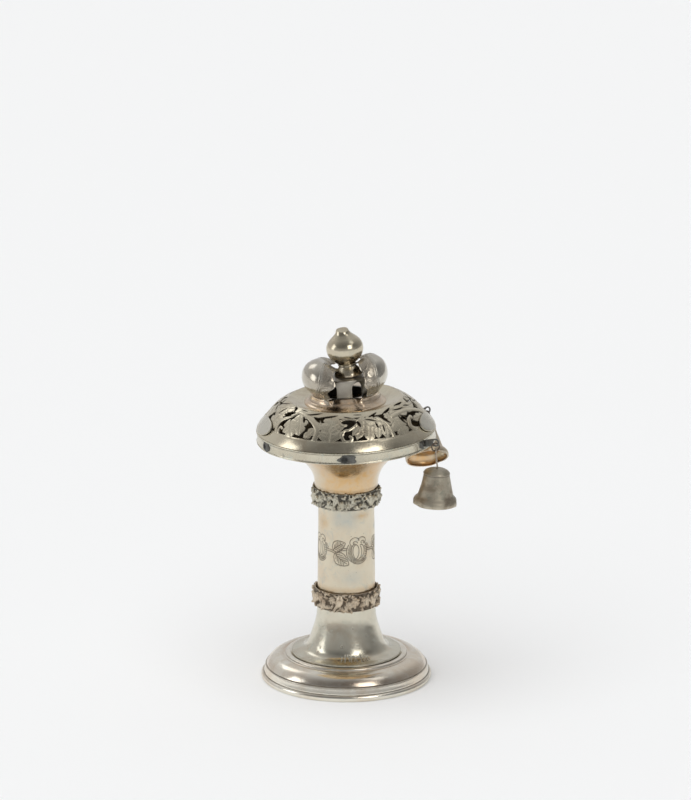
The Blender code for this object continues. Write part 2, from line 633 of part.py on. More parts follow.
def eye_place(azimuth):
    """The middle of a lug's eye, with the canopy's slant."""
    eye_r, eye_z = LUG_HOLE
    flat = place_on(azimuth) * eye_r + Vector((0.0, 0.0, eye_z - RIM_LOW_Z))
    return Matrix.Rotation(CANOPY_TILT, 3, "Y") @ flat + Vector((0.0, 0.0, RIM_LOW_Z))


def ring_frame(azimuth, swing, twist):
    """A ring's middle, the direction from the eye to the ring's far side, and the ring's normal."""
    out, side = place_on(azimuth), place_on(azimuth + 90.0)
    away = out * math.sin(swing) - Vector((0.0, 0.0, 1.0)) * math.cos(swing)
    across = Matrix.Rotation(twist, 3, away) @ side
    return eye_place(azimuth) + away * (RING_R + RING_DROP), away, away.cross(across)


def ring(name, azimuth, swing, twist):
    centre, away, normal = ring_frame(azimuth, swing, twist)
    bpy.ops.mesh.primitive_torus_add(major_radius=RING_R * MM, minor_radius=WIRE_R * MM, major_segments=18, minor_segments=6)
    made = bpy.context.active_object
    made.name = name
    for home in list(made.users_collection):
        home.objects.unlink(made)
    parts.objects.link(made)
    made.parent = root
    made.matrix_local = Matrix.Translation(centre * MM) @ normal.to_track_quat("Z", "Y").to_matrix().to_4x4()
    made.data.materials.append(wire_metal)
    made.data.shade_smooth()
    return made


def hook(name, azimuth, swing, twist, lip, turn):
    """A bent wire: an open loop round the ring's far side, then a bowed shank to the top of the bell."""
    centre, away, normal = ring_frame(azimuth, swing, twist)
    far = centre + away * RING_R
    points = []
    for i in range(9):
        a = math.radians(205.0 - 295.0 * i / 8.0)
        points.append(far + normal * HOOK_LOOP_R * math.cos(a) - away * HOOK_LOOP_R * math.sin(a))
    lean = Matrix.Rotation(turn[1], 3, "Y") @ Matrix.Rotation(turn[0], 3, "X")
    up = lean @ Vector((0.0, 0.0, 1.0))
    end = Vector(lip) + up * (BELL_PROFILE[0][1] + GAP)
    knee = end + up * 1.2
    start = points[-1]
    for i in range(1, 5):
        t = i / 4.0
        points.append(start.lerp(knee, t) + normal * 0.55 * math.sin(2.0 * math.pi * t))
    points.append(end)
    curve = bpy.data.curves.new(name, "CURVE")
    curve.dimensions = "3D"
    curve.bevel_depth = WIRE_R * MM
    curve.bevel_resolution = 1
    curve.use_fill_caps = True
    line = curve.splines.new("POLY")
    line.points.add(len(points) - 1)
    for point, place in zip(line.points, points):
        point.co = (*(place * MM), 1.0)
    made = bpy.data.objects.new(name, curve)
    parts.objects.link(made)
    made.parent = root
    curve.materials.append(wire_metal)
    return made


bells = (("front", FRONT_BELL_LIP, FRONT_TURN), ("rear", REAR_BELL_LIP, REAR_TURN))
for (side, lip, turn), azimuth, swing, twist in zip(bells, BELL_AZIMUTHS, RING_SWINGS, RING_TWISTS):
    ring(f"bell_ring_{side}", azimuth, swing, twist)
    hook(f"bell_hook_{side}", azimuth, swing, twist, lip, turn)

for tool in cutters.objects:
    tool.hide_render = True
    tool.display_type = "WIRE"
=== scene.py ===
"""Looks of the torah finial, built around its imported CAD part. Lengths below are in millimetres in the part's
own frame, turned to metres by MM; azimuths are degrees from the front, -Y, towards +X."""

import math

import bmesh
import bpy
import numpy as np
from mathutils import Matrix, Vector


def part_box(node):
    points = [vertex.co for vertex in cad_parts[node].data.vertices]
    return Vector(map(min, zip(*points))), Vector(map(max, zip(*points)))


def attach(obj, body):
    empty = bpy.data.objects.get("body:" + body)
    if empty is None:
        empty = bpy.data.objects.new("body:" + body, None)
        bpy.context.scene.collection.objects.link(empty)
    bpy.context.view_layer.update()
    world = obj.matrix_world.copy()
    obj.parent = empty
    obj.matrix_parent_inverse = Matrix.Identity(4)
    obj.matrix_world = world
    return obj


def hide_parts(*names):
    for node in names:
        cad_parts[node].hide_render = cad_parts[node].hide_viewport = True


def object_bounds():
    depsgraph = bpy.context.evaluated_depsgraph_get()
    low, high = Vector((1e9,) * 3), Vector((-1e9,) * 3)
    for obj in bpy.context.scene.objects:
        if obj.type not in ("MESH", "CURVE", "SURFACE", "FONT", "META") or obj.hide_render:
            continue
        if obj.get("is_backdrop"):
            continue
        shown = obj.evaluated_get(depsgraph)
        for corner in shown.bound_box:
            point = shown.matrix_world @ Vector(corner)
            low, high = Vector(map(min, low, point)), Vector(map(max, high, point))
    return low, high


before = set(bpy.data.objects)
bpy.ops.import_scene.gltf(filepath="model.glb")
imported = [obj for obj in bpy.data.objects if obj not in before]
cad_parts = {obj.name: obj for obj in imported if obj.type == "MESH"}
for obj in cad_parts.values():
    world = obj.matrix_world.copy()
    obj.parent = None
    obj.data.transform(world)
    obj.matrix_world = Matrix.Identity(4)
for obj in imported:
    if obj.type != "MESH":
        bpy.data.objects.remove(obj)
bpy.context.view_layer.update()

MM = 0.001
foot_low, foot_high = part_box("foot")
AXIS = (foot_low.x + foot_high.x) / 2.0 / MM          # the turning axis
TAU = 2.0 * math.pi

# seats: the canopy, the crown and the knob each lean a little on what they stand on
ROOT = Matrix.Translation((AXIS, 0.0, 0.0))
CANOPY = ROOT @ Matrix.Translation((0, 0, 131.0)) @ Matrix.Rotation(math.radians(-1.4), 4, "Y") @ Matrix.Translation((0, 0, -131.0))
CROWN = CANOPY @ Matrix.Translation((0, 0, 151.6)) @ Matrix.Rotation(math.radians(-2.1), 4, "Y") @ Matrix.Translation((0, 0, -151.6))
KNOB = CROWN @ Matrix.Translation((2.7, 0, 166.3)) @ Matrix.Rotation(math.radians(-5.0), 4, "Y")

rng = np.random.default_rng(7)


# ---------------------------------------------------------------------------------------- mesh tools
def make(name, verts, polys, matrix, material, node=None, sharp=38.0, attributes=None, flip=False):
    """An object from millimetre vertices in a seat's frame and lists of equal-sided polygons."""
    verts = np.asarray(verts, float)
    m = np.array(matrix)
    world = (verts @ m[:3, :3].T + m[:3, 3]) * MM
    mesh = bpy.data.meshes.new(name)
    polys = [np.asarray(p, np.int64) for p in polys if len(p)]
    if flip:
        polys = [p[:, ::-1] for p in polys]
    loops = np.concatenate([p.reshape(-1) for p in polys])
    sizes = np.concatenate([np.full(len(p), p.shape[1]) for p in polys])
    starts = np.concatenate([[0], np.cumsum(sizes)[:-1]])
    mesh.vertices.add(len(world))
    mesh.vertices.foreach_set("co", world.astype(np.float32).reshape(-1))
    mesh.loops.add(len(loops))
    mesh.loops.foreach_set("vertex_index", loops.astype(np.int32))
    mesh.polygons.add(len(sizes))
    mesh.polygons.foreach_set("loop_start", starts.astype(np.int32))
    mesh.update(calc_edges=True)
    mesh.validate()
    for key, values in (attributes or {}).items():
        layer = mesh.attributes.new(key, "FLOAT", "POINT")
        layer.data.foreach_set("value", np.asarray(values, np.float32))
    mesh.shade_smooth()
    if sharp:
        mesh.set_sharp_from_angle(angle=math.radians(sharp))
    made = bpy.data.objects.new(name, mesh)
    bpy.context.scene.collection.objects.link(made)
    mesh.materials.append(material)
    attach(made, "root")
    if node:
        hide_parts(*([node] if isinstance(node, str) else node))
    return made


def fillet(points, radius, count=3):
    """A polyline with every inner corner rounded; a point may carry its own radius as a third number."""
    out = [tuple(points[0][:2])]
    for a, b, c in zip(points, points[1:], points[2:]):
        r = b[2] if len(b) > 2 else radius
        a, b, c = np.array(a[:2], float), np.array(b[:2], float), np.array(c[:2], float)
        la, lc = np.linalg.norm(a - b), np.linalg.norm(c - b)
        ra, rc = min(r, la * 0.45), min(r, lc * 0.45)
        p, q = b + (a - b) / la * ra, b + (c - b) / lc * rc
        for i in range(count + 1):
            t = i / count
            out.append(tuple((1 - t) ** 2 * p + 2 * t * (1 - t) * b + t * t * q))
    out.append(tuple(points[-1][:2]))
    return out


def dense(points, step):
    """A polyline with extra points so that no segment is longer than step."""
    out = [points[0]]
    for a, b in zip(points, points[1:]):
        n = max(1, int(math.ceil(math.hypot(b[0] - a[0], b[1] - a[1]) / step)))
        out += [(a[0] + (b[0] - a[0]) * i / n, a[1] + (b[1] - a[1]) * i / n) for i in range(1, n + 1)]
    return out


def curve_through(points, per=6):
    """Catmull-Rom points through given points of any dimension."""
    p = [np.array(q, float) for q in points]
    out = []
    for i in range(len(p) - 1):
        p0, p1, p2, p3 = p[max(i - 1, 0)], p[i], p[i + 1], p[min(i + 2, len(p) - 1)]
        for k in range(per):
            s = k / per
            out.append(0.5 * (2 * p1 + (p2 - p0) * s + (2 * p0 - 5 * p1 + 4 * p2 - p3) * s * s + (3 * p1 - 3 * p2 + p3 - p0) * s ** 3))
    out.append(p[-1])
    return out


def wobble(theta, z, size, seed=0, waves=7, tall=0.08):
    """Smooth unevenness of hand-raised metal, periodic round the axis."""
    r = np.random.default_rng(seed)
    total = np.zeros(np.broadcast(theta, z).shape)
    for _ in range(waves):
        m = r.integers(1, 9)
        total = total + r.normal() * np.sin(m * theta + z * r.normal() * tall * 3.0 + r.uniform(0, TAU)) / math.sqrt(m)
    return size * total / math.sqrt(waves)


def lathe(name, profile, segments, matrix, material, node=None, closed=True, shift=None, sharp=38.0, columns=None, attribute=None):
    """A turned solid from its whole profile. shift(theta, r, z) returns new (r, z) for unevenness and damage."""
    profile = np.array(profile, float)
    if closed and np.allclose(profile[0], profile[-1]):
        profile = profile[:-1]
    theta = np.linspace(0.0, TAU, segments, endpoint=False) if columns is None else np.asarray(columns)
    n, k = len(theta), len(profile)
    t, r = np.meshgrid(theta, profile[:, 0], indexing="ij")
    z = np.broadcast_to(profile[:, 1], t.shape).copy()
    if shift is not None:
        pole = r < 1e-6
        r2, z2 = shift(t, r, z)
        r, z = np.where(pole, 0.0, r2), np.where(pole, z, z2)
    verts = np.stack([r * np.sin(t), -r * np.cos(t), z], -1).reshape(-1, 3)
    i = np.arange(n)[:, None]
    j = np.arange(k if closed else k - 1)[None, :]
    a, b = (i * k + j), (((i + 1) % n) * k + j)
    c, d = (((i + 1) % n) * k + (j + 1) % k), (i * k + (j + 1) % k)
    quads = np.stack([a, b, c, d], -1).reshape(-1, 4)
    polar = [col for col in range(k) if profile[col, 0] < 1e-6]
    tris = []
    if polar:
        keep = np.arange(n * k)
        for col in polar:
            keep[np.arange(n) * k + col] = col
        quads = keep[quads]
        same = [(quads[:, s] == quads[:, (s + 1) % 4]) for s in range(4)]
        bad = np.any(same, 0)
        for s in range(4):
            pick = same[s]
            tris.append(np.delete(quads[pick], s, axis=1))
        quads = quads[~bad]
        tris = [np.concatenate(tris)]
        tris = [q[(q[:, 0] != q[:, 1]) & (q[:, 1] != q[:, 2]) & (q[:, 0] != q[:, 2])] for q in tris]
    attributes = {"dirt_and_painted_dark": np.zeros(n * k)}
    if attribute is not None:
        attributes.update({key: np.broadcast_to(v, t.shape).reshape(-1) for key, v in attribute(t, r, z).items()})
    return make(name, verts, [quads] + tris, matrix, material, node, sharp, attributes)


CASES = {1: ("c0 e0 e3", "e0 e3"), 2: ("c1 e1 e0", "e1 e0"), 3: ("c0 c1 e1 e3", "e1 e3"), 4: ("c2 e2 e1", "e2 e1"),
         6: ("c1 c2 e2 e0", "e2 e0"), 7: ("c0 c1 c2 e2 e3", "e2 e3"), 8: ("c3 e3 e2", "e3 e2"), 9: ("c0 e0 e2 c3", "e0 e2"),
         11: ("c0 c1 e1 e2 c3", "e1 e2"), 12: ("c2 c3 e3 e1", "e3 e1"), 13: ("c0 e0 e1 c2 c3", "e0 e1"), 14: ("c1 c2 c3 e3 e0", "e3 e0"),
         15: ("c0 c1 c2 c3", "")}


def sheet(outer, inner, field, wrap, values=None):
    """A sheet of metal with thickness, kept where field > 0 on a grid (columns, rows): its two faces, and walls along every
    edge it has. values are further grids carried to both faces. Returns vertices, polygon lists and the carried values."""
    n, k = field.shape
    eps = 1e-4
    field = np.where(np.abs(field) < eps, eps, field)
    inside = field > 0
    values = values or {}
    flat_o, flat_i = outer.reshape(-1, 3), inner.reshape(-1, 3)
    ids = -np.ones(n * k, np.int64)
    live = inside.reshape(-1)
    ids[live] = np.arange(live.sum())
    vo, vi = [flat_o[live]], [flat_i[live]]
    vals = {key: [v.reshape(-1)[live]] for key, v in values.items()}
    count = int(live.sum())
    f = field.reshape(-1)
    grid = np.arange(n * k).reshape(n, k)

    def crossings(a, b):
        nonlocal count
        hit = (f[a] > 0) != (f[b] > 0)
        out = -np.ones(a.shape, np.int64)
        pa, pb = a[hit], b[hit]
        t = (f[pa] / (f[pa] - f[pb]))[:, None]
        t = np.clip(t, 0.04, 0.96)
        vo.append(flat_o[pa] * (1 - t) + flat_o[pb] * t)
        vi.append(flat_i[pa] * (1 - t) + flat_i[pb] * t)
        for key, v in values.items():
            w = v.reshape(-1)
            vals[key].append(w[pa] * (1 - t[:, 0]) + w[pb] * t[:, 0])
        out[hit] = count + np.arange(len(pa))
        count += len(pa)
        return out

    along = np.roll(grid, -1, axis=0) if wrap else grid
    if wrap:
        h = crossings(grid, along)                                  # between (i, j) and (i + 1, j)
    else:
        h = -np.ones((n, k), np.int64)
        h[:-1] = crossings(grid[:-1], grid[1:])
    v = -np.ones((n, k), np.int64)
    v[:, :-1] = crossings(grid[:, :-1], grid[:, 1:])                  # between (i, j) and (i, j + 1)
    cols = n if wrap else n - 1
    i0 = np.arange(cols)[:, None] * np.ones((1, k - 1), np.int64)
    i0 = i0.astype(np.int64)
    i1 = (i0 + 1) % n
    j0 = np.ones((cols, 1), np.int64) * np.arange(k - 1)[None, :]
    j1 = j0 + 1
    corner = {"c0": (i0, j0), "c1": (i1, j0), "c2": (i1, j1), "c3": (i0, j1)}
    look = {key: ids[grid[i, j]] for key, (i, j) in corner.items()}
    look["e0"], look["e1"], look["e2"], look["e3"] = h[i0, j0], v[i1, j0], h[i0, j1], v[i0, j0]
    code = inside[i0, j0] * 1 + inside[i1, j0] * 2 + inside[i1, j1] * 4 + inside[i0, j1] * 8
    total = count
    polys, walls = {3: [], 4: [], 5: []}, []
    shapes = [(c, p, e) for c, (p, e) in CASES.items()]
    shapes += [(5, "c0 e0 e3", "e0 e3"), (5, "c2 e2 e1", "e2 e1"), (10, "c1 e1 e0", "e1 e0"), (10, "c3 e3 e2", "e3 e2")]
    for c, p, e in shapes:
        pick = code == c
        if not pick.any():
            continue
        poly = np.stack([look[w][pick] for w in p.split()], -1)
        polys[poly.shape[1]].append(poly)
        if e:
            a, b = (look[w][pick] for w in e.split())
            walls.append(np.stack([b, a, a + total, b + total], -1))

    def border(first, second, crossing, turn):
        both = (first >= 0) & (second >= 0)
        walls.append(np.stack([second[both], first[both], first[both] + total, second[both] + total], -1)[:, ::turn])
        one = (first >= 0) & (second < 0)
        walls.append(np.stack([crossing[one], first[one], first[one] + total, crossing[one] + total], -1)[:, ::turn])
        other = (first < 0) & (second >= 0)
        walls.append(np.stack([second[other], crossing[other], crossing[other] + total, second[other] + total], -1)[:, ::turn])

    c = np.arange(cols)
    border(ids[grid[c, 0]], ids[grid[(c + 1) % n, 0]], h[c, 0], 1)
    border(ids[grid[c, k - 1]], ids[grid[(c + 1) % n, k - 1]], h[c, k - 1], -1)
    if not wrap:
        r = np.arange(k - 1)
        border(ids[grid[0, r]], ids[grid[0, r + 1]], v[0, r], -1)
        border(ids[grid[n - 1, r]], ids[grid[n - 1, r + 1]], v[n - 1, r], 1)
    verts = np.concatenate(vo + vi)
    lists = []
    for size, found in polys.items():
        if found:
            p = np.concatenate(found)
            lists += [p, p[:, ::-1] + total]
    lists.append(np.concatenate(walls))
    carried = {key: np.concatenate(v + v) for key, v in vals.items()}
    side = np.concatenate([np.zeros(total), np.ones(total)])
    return verts, lists, carried, side


# ---------------------------------------------------------------------------------------- materials
def node_material(name):
    made = bpy.data.materials.new(name)
    made.use_nodes = True
    tree = made.node_tree
    tree.nodes.clear()
    return made, tree


def silver(name, clean=(0.80, 0.765, 0.70), warm=(0.60, 0.50, 0.40), cool=(0.62, 0.66, 0.66), dark=(0.10, 0.085, 0.065), rough=0.2, spread=0.12,
           tarnish=0.45, blotch=70.0, bump=0.25, scratches=0.3, gilt=None, cool_share=0.35, dirt=0.5, film=None):
    """Old silver: uneven tarnish in warm and cool films, fine scratches and soft dents, and one attribute that darkens
    it: dark dirt in the hollows, but also painted shade on faces shut inside and a painted dark reflection.
    Where the attribute gilt is given, that much of the surface shows gold."""
    made, tree = node_material(name)
    nodes, links = tree.nodes, tree.links

    def add(kind, **inputs):
        n = nodes.new(kind)
        for key, value in inputs.items():
            n.inputs[key.replace("_", " ")].default_value = value
        return n

    place = nodes.new("ShaderNodeTexCoord")

    def noise(scale, detail=5.0, roughness=0.55, distortion=0.0):
        n = add("ShaderNodeTexNoise", Scale=scale, Detail=detail, Roughness=roughness, Distortion=distortion)
        links.new(place.outputs["Object"], n.inputs["Vector"])
        return n

    def ramp(source, low, high, a=0.0, b=1.0):
        n = nodes.new("ShaderNodeMapRange")
        n.inputs["From Min"].default_value, n.inputs["From Max"].default_value = low, high
        n.inputs["To Min"].default_value, n.inputs["To Max"].default_value = a, b
        n.interpolation_type = "SMOOTHSTEP"
        links.new(source, n.inputs["Value"])
        return n.outputs["Result"]

    def mix(factor, a, b):
        n = nodes.new("ShaderNodeMix")
        n.data_type = "RGBA"
        for socket, value in ((n.inputs[0], factor), (n.inputs[6], a), (n.inputs[7], b)):
            if isinstance(value, bpy.types.NodeSocket):
                links.new(value, socket)
            elif isinstance(value, tuple):
                socket.default_value = (*value, 1.0)
            else:
                socket.default_value = value
        return n.outputs[2]

    def calc(operation, a, b):
        n = nodes.new("ShaderNodeMath")
        n.operation = operation
        for socket, value in ((n.inputs[0], a), (n.inputs[1], b)):
            if isinstance(value, bpy.types.NodeSocket):
                links.new(value, socket)
            else:
                socket.default_value = value
        return n.outputs[0]

    big = noise(blotch, 6.0, 0.6, 0.4)
    mid = noise(blotch * 3.1, 5.0, 0.6, 0.8)
    fine = noise(2600.0, 3.0, 0.6)
    colour = mix(ramp(big.outputs["Fac"], 0.42, 0.72, 0.0, tarnish), clean, warm)
    colour = mix(ramp(mid.outputs["Fac"], 0.50, 0.75, 0.0, cool_share), colour, cool)
    # this attribute pulls the colour to dark: dirt in hollows and grooves, and also painted shade and a painted dark
    # reflection
    dirt_and_painted_dark = nodes.new("ShaderNodeAttribute")
    dirt_and_painted_dark.attribute_name = "dirt_and_painted_dark"
    soiled_and_painted_dark = calc("MULTIPLY", dirt_and_painted_dark.outputs["Fac"], ramp(mid.outputs["Fac"], 0.25, 0.7, 1.0, 0.75))
    if gilt:
        where = nodes.new("ShaderNodeAttribute")
        where.attribute_name = "gilt"
        worn = calc("MULTIPLY", where.outputs["Fac"], ramp(mid.outputs["Fac"], 0.28, 0.62, 1.0, 0.55))
        colour = mix(worn, colour, gilt)
    if film:
        where = nodes.new("ShaderNodeAttribute")
        where.attribute_name = "film"
        colour = mix(calc("MULTIPLY", where.outputs["Fac"], ramp(mid.outputs["Fac"], 0.3, 0.6, 1.0, 0.6)), colour, film)
    spots = ramp(noise(900.0, 2.0, 0.5).outputs["Fac"], 0.70, 0.78, 0.0, dirt)
    colour = mix(spots, colour, (0.16, 0.13, 0.10))
    colour = mix(soiled_and_painted_dark, colour, dark)
    streak = nodes.new("ShaderNodeMapping")
    streak.inputs["Scale"].default_value = (1.0, 1.0, 9.0)
    streak.inputs["Rotation"].default_value = (0.3, 0.2, 0.4)
    links.new(place.outputs["Object"], streak.inputs["Vector"])
    lines = add("ShaderNodeTexNoise", Scale=700.0, Detail=4.0, Roughness=0.7)
    links.new(streak.outputs["Vector"], lines.inputs["Vector"])
    shader = nodes.new("ShaderNodeBsdfPrincipled")
    links.new(colour, shader.inputs["Base Color"])
    roughness = calc("ADD", ramp(mid.outputs["Fac"], 0.3, 0.8, rough, rough + spread), calc("MULTIPLY", ramp(lines.outputs["Fac"], 0.5, 0.8), scratches * 0.2))
    roughness = calc("ADD", roughness, calc("MULTIPLY", soiled_and_painted_dark, 0.35))
    links.new(roughness, shader.inputs["Roughness"])
    links.new(calc("SUBTRACT", 1.0, calc("MULTIPLY", soiled_and_painted_dark, 0.75)), shader.inputs["Metallic"])
    height = calc("ADD", calc("MULTIPLY", fine.outputs["Fac"], 0.25), calc("MULTIPLY", lines.outputs["Fac"], scratches))
    height = calc("ADD", height, calc("MULTIPLY", mid.outputs["Fac"], 1.6))
    dents = add("ShaderNodeBump", Strength=bump, Distance=0.00022)
    links.new(height, dents.inputs["Height"])
    links.new(dents.outputs["Normal"], shader.inputs["Normal"])
    out = nodes.new("ShaderNodeOutputMaterial")
    links.new(shader.outputs["BSDF"], out.inputs["Surface"])
    return made


GOLD = (0.70, 0.47, 0.19)
foot_metal = silver("foot silver", clean=(0.86, 0.82, 0.72), warm=(0.72, 0.61, 0.48), cool=(0.74, 0.74, 0.68), dark=(0.06, 0.045, 0.03), rough=0.16, spread=0.10, tarnish=0.9, bump=0.12, blotch=50.0, gilt=(0.54, 0.39, 0.28))
neck_metal = silver("neck silver", clean=(0.68, 0.645, 0.535), warm=(0.60, 0.52, 0.40), cool=(0.52, 0.53, 0.45), rough=0.17, spread=0.12, tarnish=0.9, bump=0.15, cool_share=0.6, blotch=60.0, dark=(0.045, 0.038, 0.026))
stem_metal = silver("stem silver", clean=(0.72, 0.65, 0.51), warm=(0.68, 0.56, 0.41), cool=(0.50, 0.53, 0.50), rough=0.30, spread=0.12, tarnish=0.7, bump=0.12, cool_share=0.55, dark=(0.045, 0.032, 0.02), gilt=(0.60, 0.40, 0.19), film=(0.53, 0.535, 0.48))
flare_metal = silver("flare silver-gilt and painted reflections", clean=(0.68, 0.62, 0.50), warm=(0.64, 0.52, 0.36), cool=(0.58, 0.555, 0.47), rough=0.13, spread=0.10, bump=0.10, gilt=(0.68, 0.42, 0.17), dark=(0.10, 0.055, 0.02))
rim_metal = silver("rim silver", clean=(0.63, 0.585, 0.465), warm=(0.49, 0.425, 0.325), cool=(0.53, 0.585, 0.535), rough=0.22, spread=0.12, bump=0.16, cool_share=0.6, dark=(0.04, 0.04, 0.035))
dome_metal = silver("dome silver", clean=(0.70, 0.635, 0.49), warm=(0.50, 0.41, 0.29), cool=(0.51, 0.51, 0.42), rough=0.17, spread=0.10, tarnish=0.6, bump=0.10, scratches=0.2, dirt=0.25, dark=(0.030, 0.024, 0.016))
plate_metal = silver("lappet silver", clean=(0.70, 0.67, 0.58), warm=(0.60, 0.53, 0.43), cool=(0.60, 0.61, 0.54), rough=0.26, spread=0.1, tarnish=0.3, bump=0.10, dark=(0.06, 0.05, 0.04))
crown_metal = silver("crown silver", clean=(0.72, 0.66, 0.55), warm=(0.58, 0.45, 0.34), cool=(0.54, 0.54, 0.48), rough=0.17, spread=0.12, tarnish=0.6, bump=0.14, gilt=(0.70, 0.51, 0.34), dark=(0.07, 0.05, 0.035))
knob_metal = silver("knob silver", clean=(0.61, 0.55, 0.42), warm=(0.54, 0.45, 0.33), cool=(0.50, 0.50, 0.42), rough=0.16, spread=0.12, tarnish=0.7, bump=0.12, gilt=(0.80, 0.66, 0.50), dark=(0.05, 0.038, 0.026))
cast_metal_low = silver("lower collar cast silver", clean=(0.66, 0.56, 0.43), warm=(0.52, 0.38, 0.26), cool=(0.52, 0.52, 0.43), dark=(0.05, 0.033, 0.018), rough=0.26, spread=0.16, tarnish=0.8, bump=0.35, blotch=160.0, cool_share=0.2)
cast_metal_high = silver("upper collar cast silver", clean=(0.62, 0.585, 0.48), warm=(0.44, 0.39, 0.29), dark=(0.026, 0.022, 0.017), rough=0.28, spread=0.16, tarnish=0.6, bump=0.35, blotch=160.0, cool=(0.44, 0.49, 0.43))
bell_metal = silver("bell oxidised silver", clean=(0.50, 0.45, 0.355), warm=(0.23, 0.18, 0.125), cool=(0.25, 0.275, 0.225), rough=0.34, spread=0.16, tarnish=1.0, cool_share=0.7, bump=0.45, gilt=(0.60, 0.36, 0.15), dark=(0.03, 0.024, 0.017), blotch=95.0)
wire_metal = silver("wire dark iron", clean=(0.17, 0.14, 0.11), warm=(0.14, 0.09, 0.06), cool=(0.17, 0.165, 0.15), rough=0.40, spread=0.15, tarnish=0.9, bump=0.5, blotch=260.0)
hook_metal = silver("hook wire", clean=(0.46, 0.41, 0.34), warm=(0.34, 0.25, 0.18), cool=(0.36, 0.35, 0.31), rough=0.30, spread=0.15, tarnish=0.9, bump=0.5, blotch=260.0)
floor_metal = silver("fire-gilt floor", clean=GOLD, warm=(0.50, 0.30, 0.12), cool=(0.56, 0.48, 0.33), dark=(0.020, 0.016, 0.010), rough=0.24, spread=0.15, tarnish=0.8, bump=0.3)
solder_metal = silver("old solder", clean=(0.21, 0.21, 0.195), warm=(0.13, 0.11, 0.085), cool=(0.235, 0.26, 0.255), dark=(0.010, 0.009, 0.008), rough=0.45, spread=0.15, tarnish=0.8, bump=0.9, blotch=300.0)

# ---------------------------------------------------------------------------------------- foot
cushion = [(33.4 + 8.9 * t, 12.7 - 5.3 * t + 4.0 * 1.80 * t * (1 - t) * 0.8) for t in np.linspace(0.0, 1.0, 13)]
cushion = [(r + 0.55 * math.sin(math.pi * (r - 33.4) / 8.9), z) for r, z in cushion]
foot_outline = [(27.4, 13.8), (29.5, 13.8, 0.2), (29.9, 14.0, 0.2), (30.5, 14.02, 0.25), (30.9, 13.82, 0.2), (31.7, 13.8, 0.3), (32.05, 13.35, 0.3), (32.1, 12.8, 0.3), (32.9, 12.5, 0.6), *cushion[:-1], (42.35, 7.35, 0.2), (42.0, 7.0, 0.15),
                (43.0, 6.85, 0.25), (43.3, 5.0, 1.0), (43.72, 3.5, 0.3), (43.6, 3.12, 0.12), (44.35, 2.95, 0.2), (45.0, 2.35, 0.4), (45.2, 1.5, 0.5),
                (45.0, 0.65, 0.3), (44.75, 0.28, 0.12), (44.7, 0.0, 0.1), (43.0, 0.0, 0.05), (43.0, 0.9), (41.2, 6.3, 2.0), (38.0, 10.2, 3.0), (31.5, 11.9, 0.5), (27.4, 12.9)]


def foot_shift(t, r, z):
    dent = 0.22 * np.exp(-((t - 0.75) / 0.16) ** 2 - ((r - 39.0) / 3.0) ** 2) + 0.16 * np.exp(-((t - 5.45) / 0.2) ** 2 - ((r - 37.0) / 3.0) ** 2)
    high = np.clip(z / 3.0, 0.0, 1.0)
    return r + wobble(t, z, 0.05, 3) * high - 0.4 * dent * high, z + wobble(t, r, 0.07, 4) * high * (z < 12.9) - dent * high


def line_dirt(levels, width):
    def at(t, r, z):
        total = np.zeros(t.shape)
        for level in levels:
            total = np.maximum(total, np.exp(-((z - level) / width) ** 2))
        return {"dirt_and_painted_dark": np.clip(total, 0, 1)}
    return at


foot_profile = dense(fillet(foot_outline, 0.25, 2), 2.0)
foot_dirt = line_dirt((3.12, 6.98), 0.16)
# a thin dark line at the step at radius 32.1 is painted shade in that crease; the two lines in the band are dirt in its
# grooves
lathe("foot_piece", foot_profile, 216, ROOT, foot_metal, "foot", shift=foot_shift, attribute=lambda t, r, z: {"dirt_and_painted_dark": foot_dirt(t, r, z)["dirt_and_painted_dark"] * (r > 41.0) + 0.6 * np.exp(-((r - 32.1) / 0.14) ** 2) * (z > 12.0),
                  "gilt": np.clip(0.75 * np.exp(-((r - 41.3) / 1.3) ** 2) + 0.6 * np.exp(-((r - 33.6) / 1.2) ** 2), 0, 1) * (0.65 + 0.35 * np.sin(3.0 * t + 1.0))})


# ---------------------------------------------------------------------------------------- lower neck, with its row of strokes
NECK_LINE = [(15.3, 44.85), (15.33, 41.0), (15.42, 38.0), (15.7, 34.5), (16.3, 31.3), (17.2, 28.2), (18.2, 25.0), (19.3, 21.8), (20.25, 19.4), (21.3, 17.65), (23.0, 16.15),
             (25.6, 15.25), (28.7, 14.9)]
neck_line = []
for q in curve_through(NECK_LINE, 60):
    step = 0.16 if (q[1] < 19.2 and q[0] < 25.0) else 0.6
    if not neck_line or math.hypot(q[0] - neck_line[-1][0], q[1] - neck_line[-1][1]) >= step:
        neck_line.append((float(q[0]), float(q[1])))
outside_z = np.array([q[1] for q in neck_line])[::-1]
outside_r = np.array([q[0] for q in neck_line])[::-1]
outside_arc = np.concatenate([[0], np.cumsum(np.hypot(np.diff(outside_r), np.diff(outside_z)))])
outside_arc = outside_arc - np.interp(25.6, outside_r[::-1], outside_arc[::-1])        # along the sheet, upwards from radius 25.6
neck_inner = []
for a, b in zip(neck_line, neck_line[4:]):
    size = math.hypot(b[0] - a[0], b[1] - a[1])
    here = ((a[0] + b[0]) / 2 + 0.78 * (b[1] - a[1]) / size, (a[1] + b[1]) / 2 - 0.78 * (b[0] - a[0]) / size)
    if not neck_inner or math.hypot(here[0] - neck_inner[-1][0], here[1] - neck_inner[-1][1]) > 1.6:
        neck_inner.append(here)
neck_inner = neck_inner[::-1]
neck_profile = neck_line + [(28.93, 14.8), (29.02, 14.6), (29.0, 14.0), (28.7, 13.86)] + neck_inner + [(14.52, 44.85)]

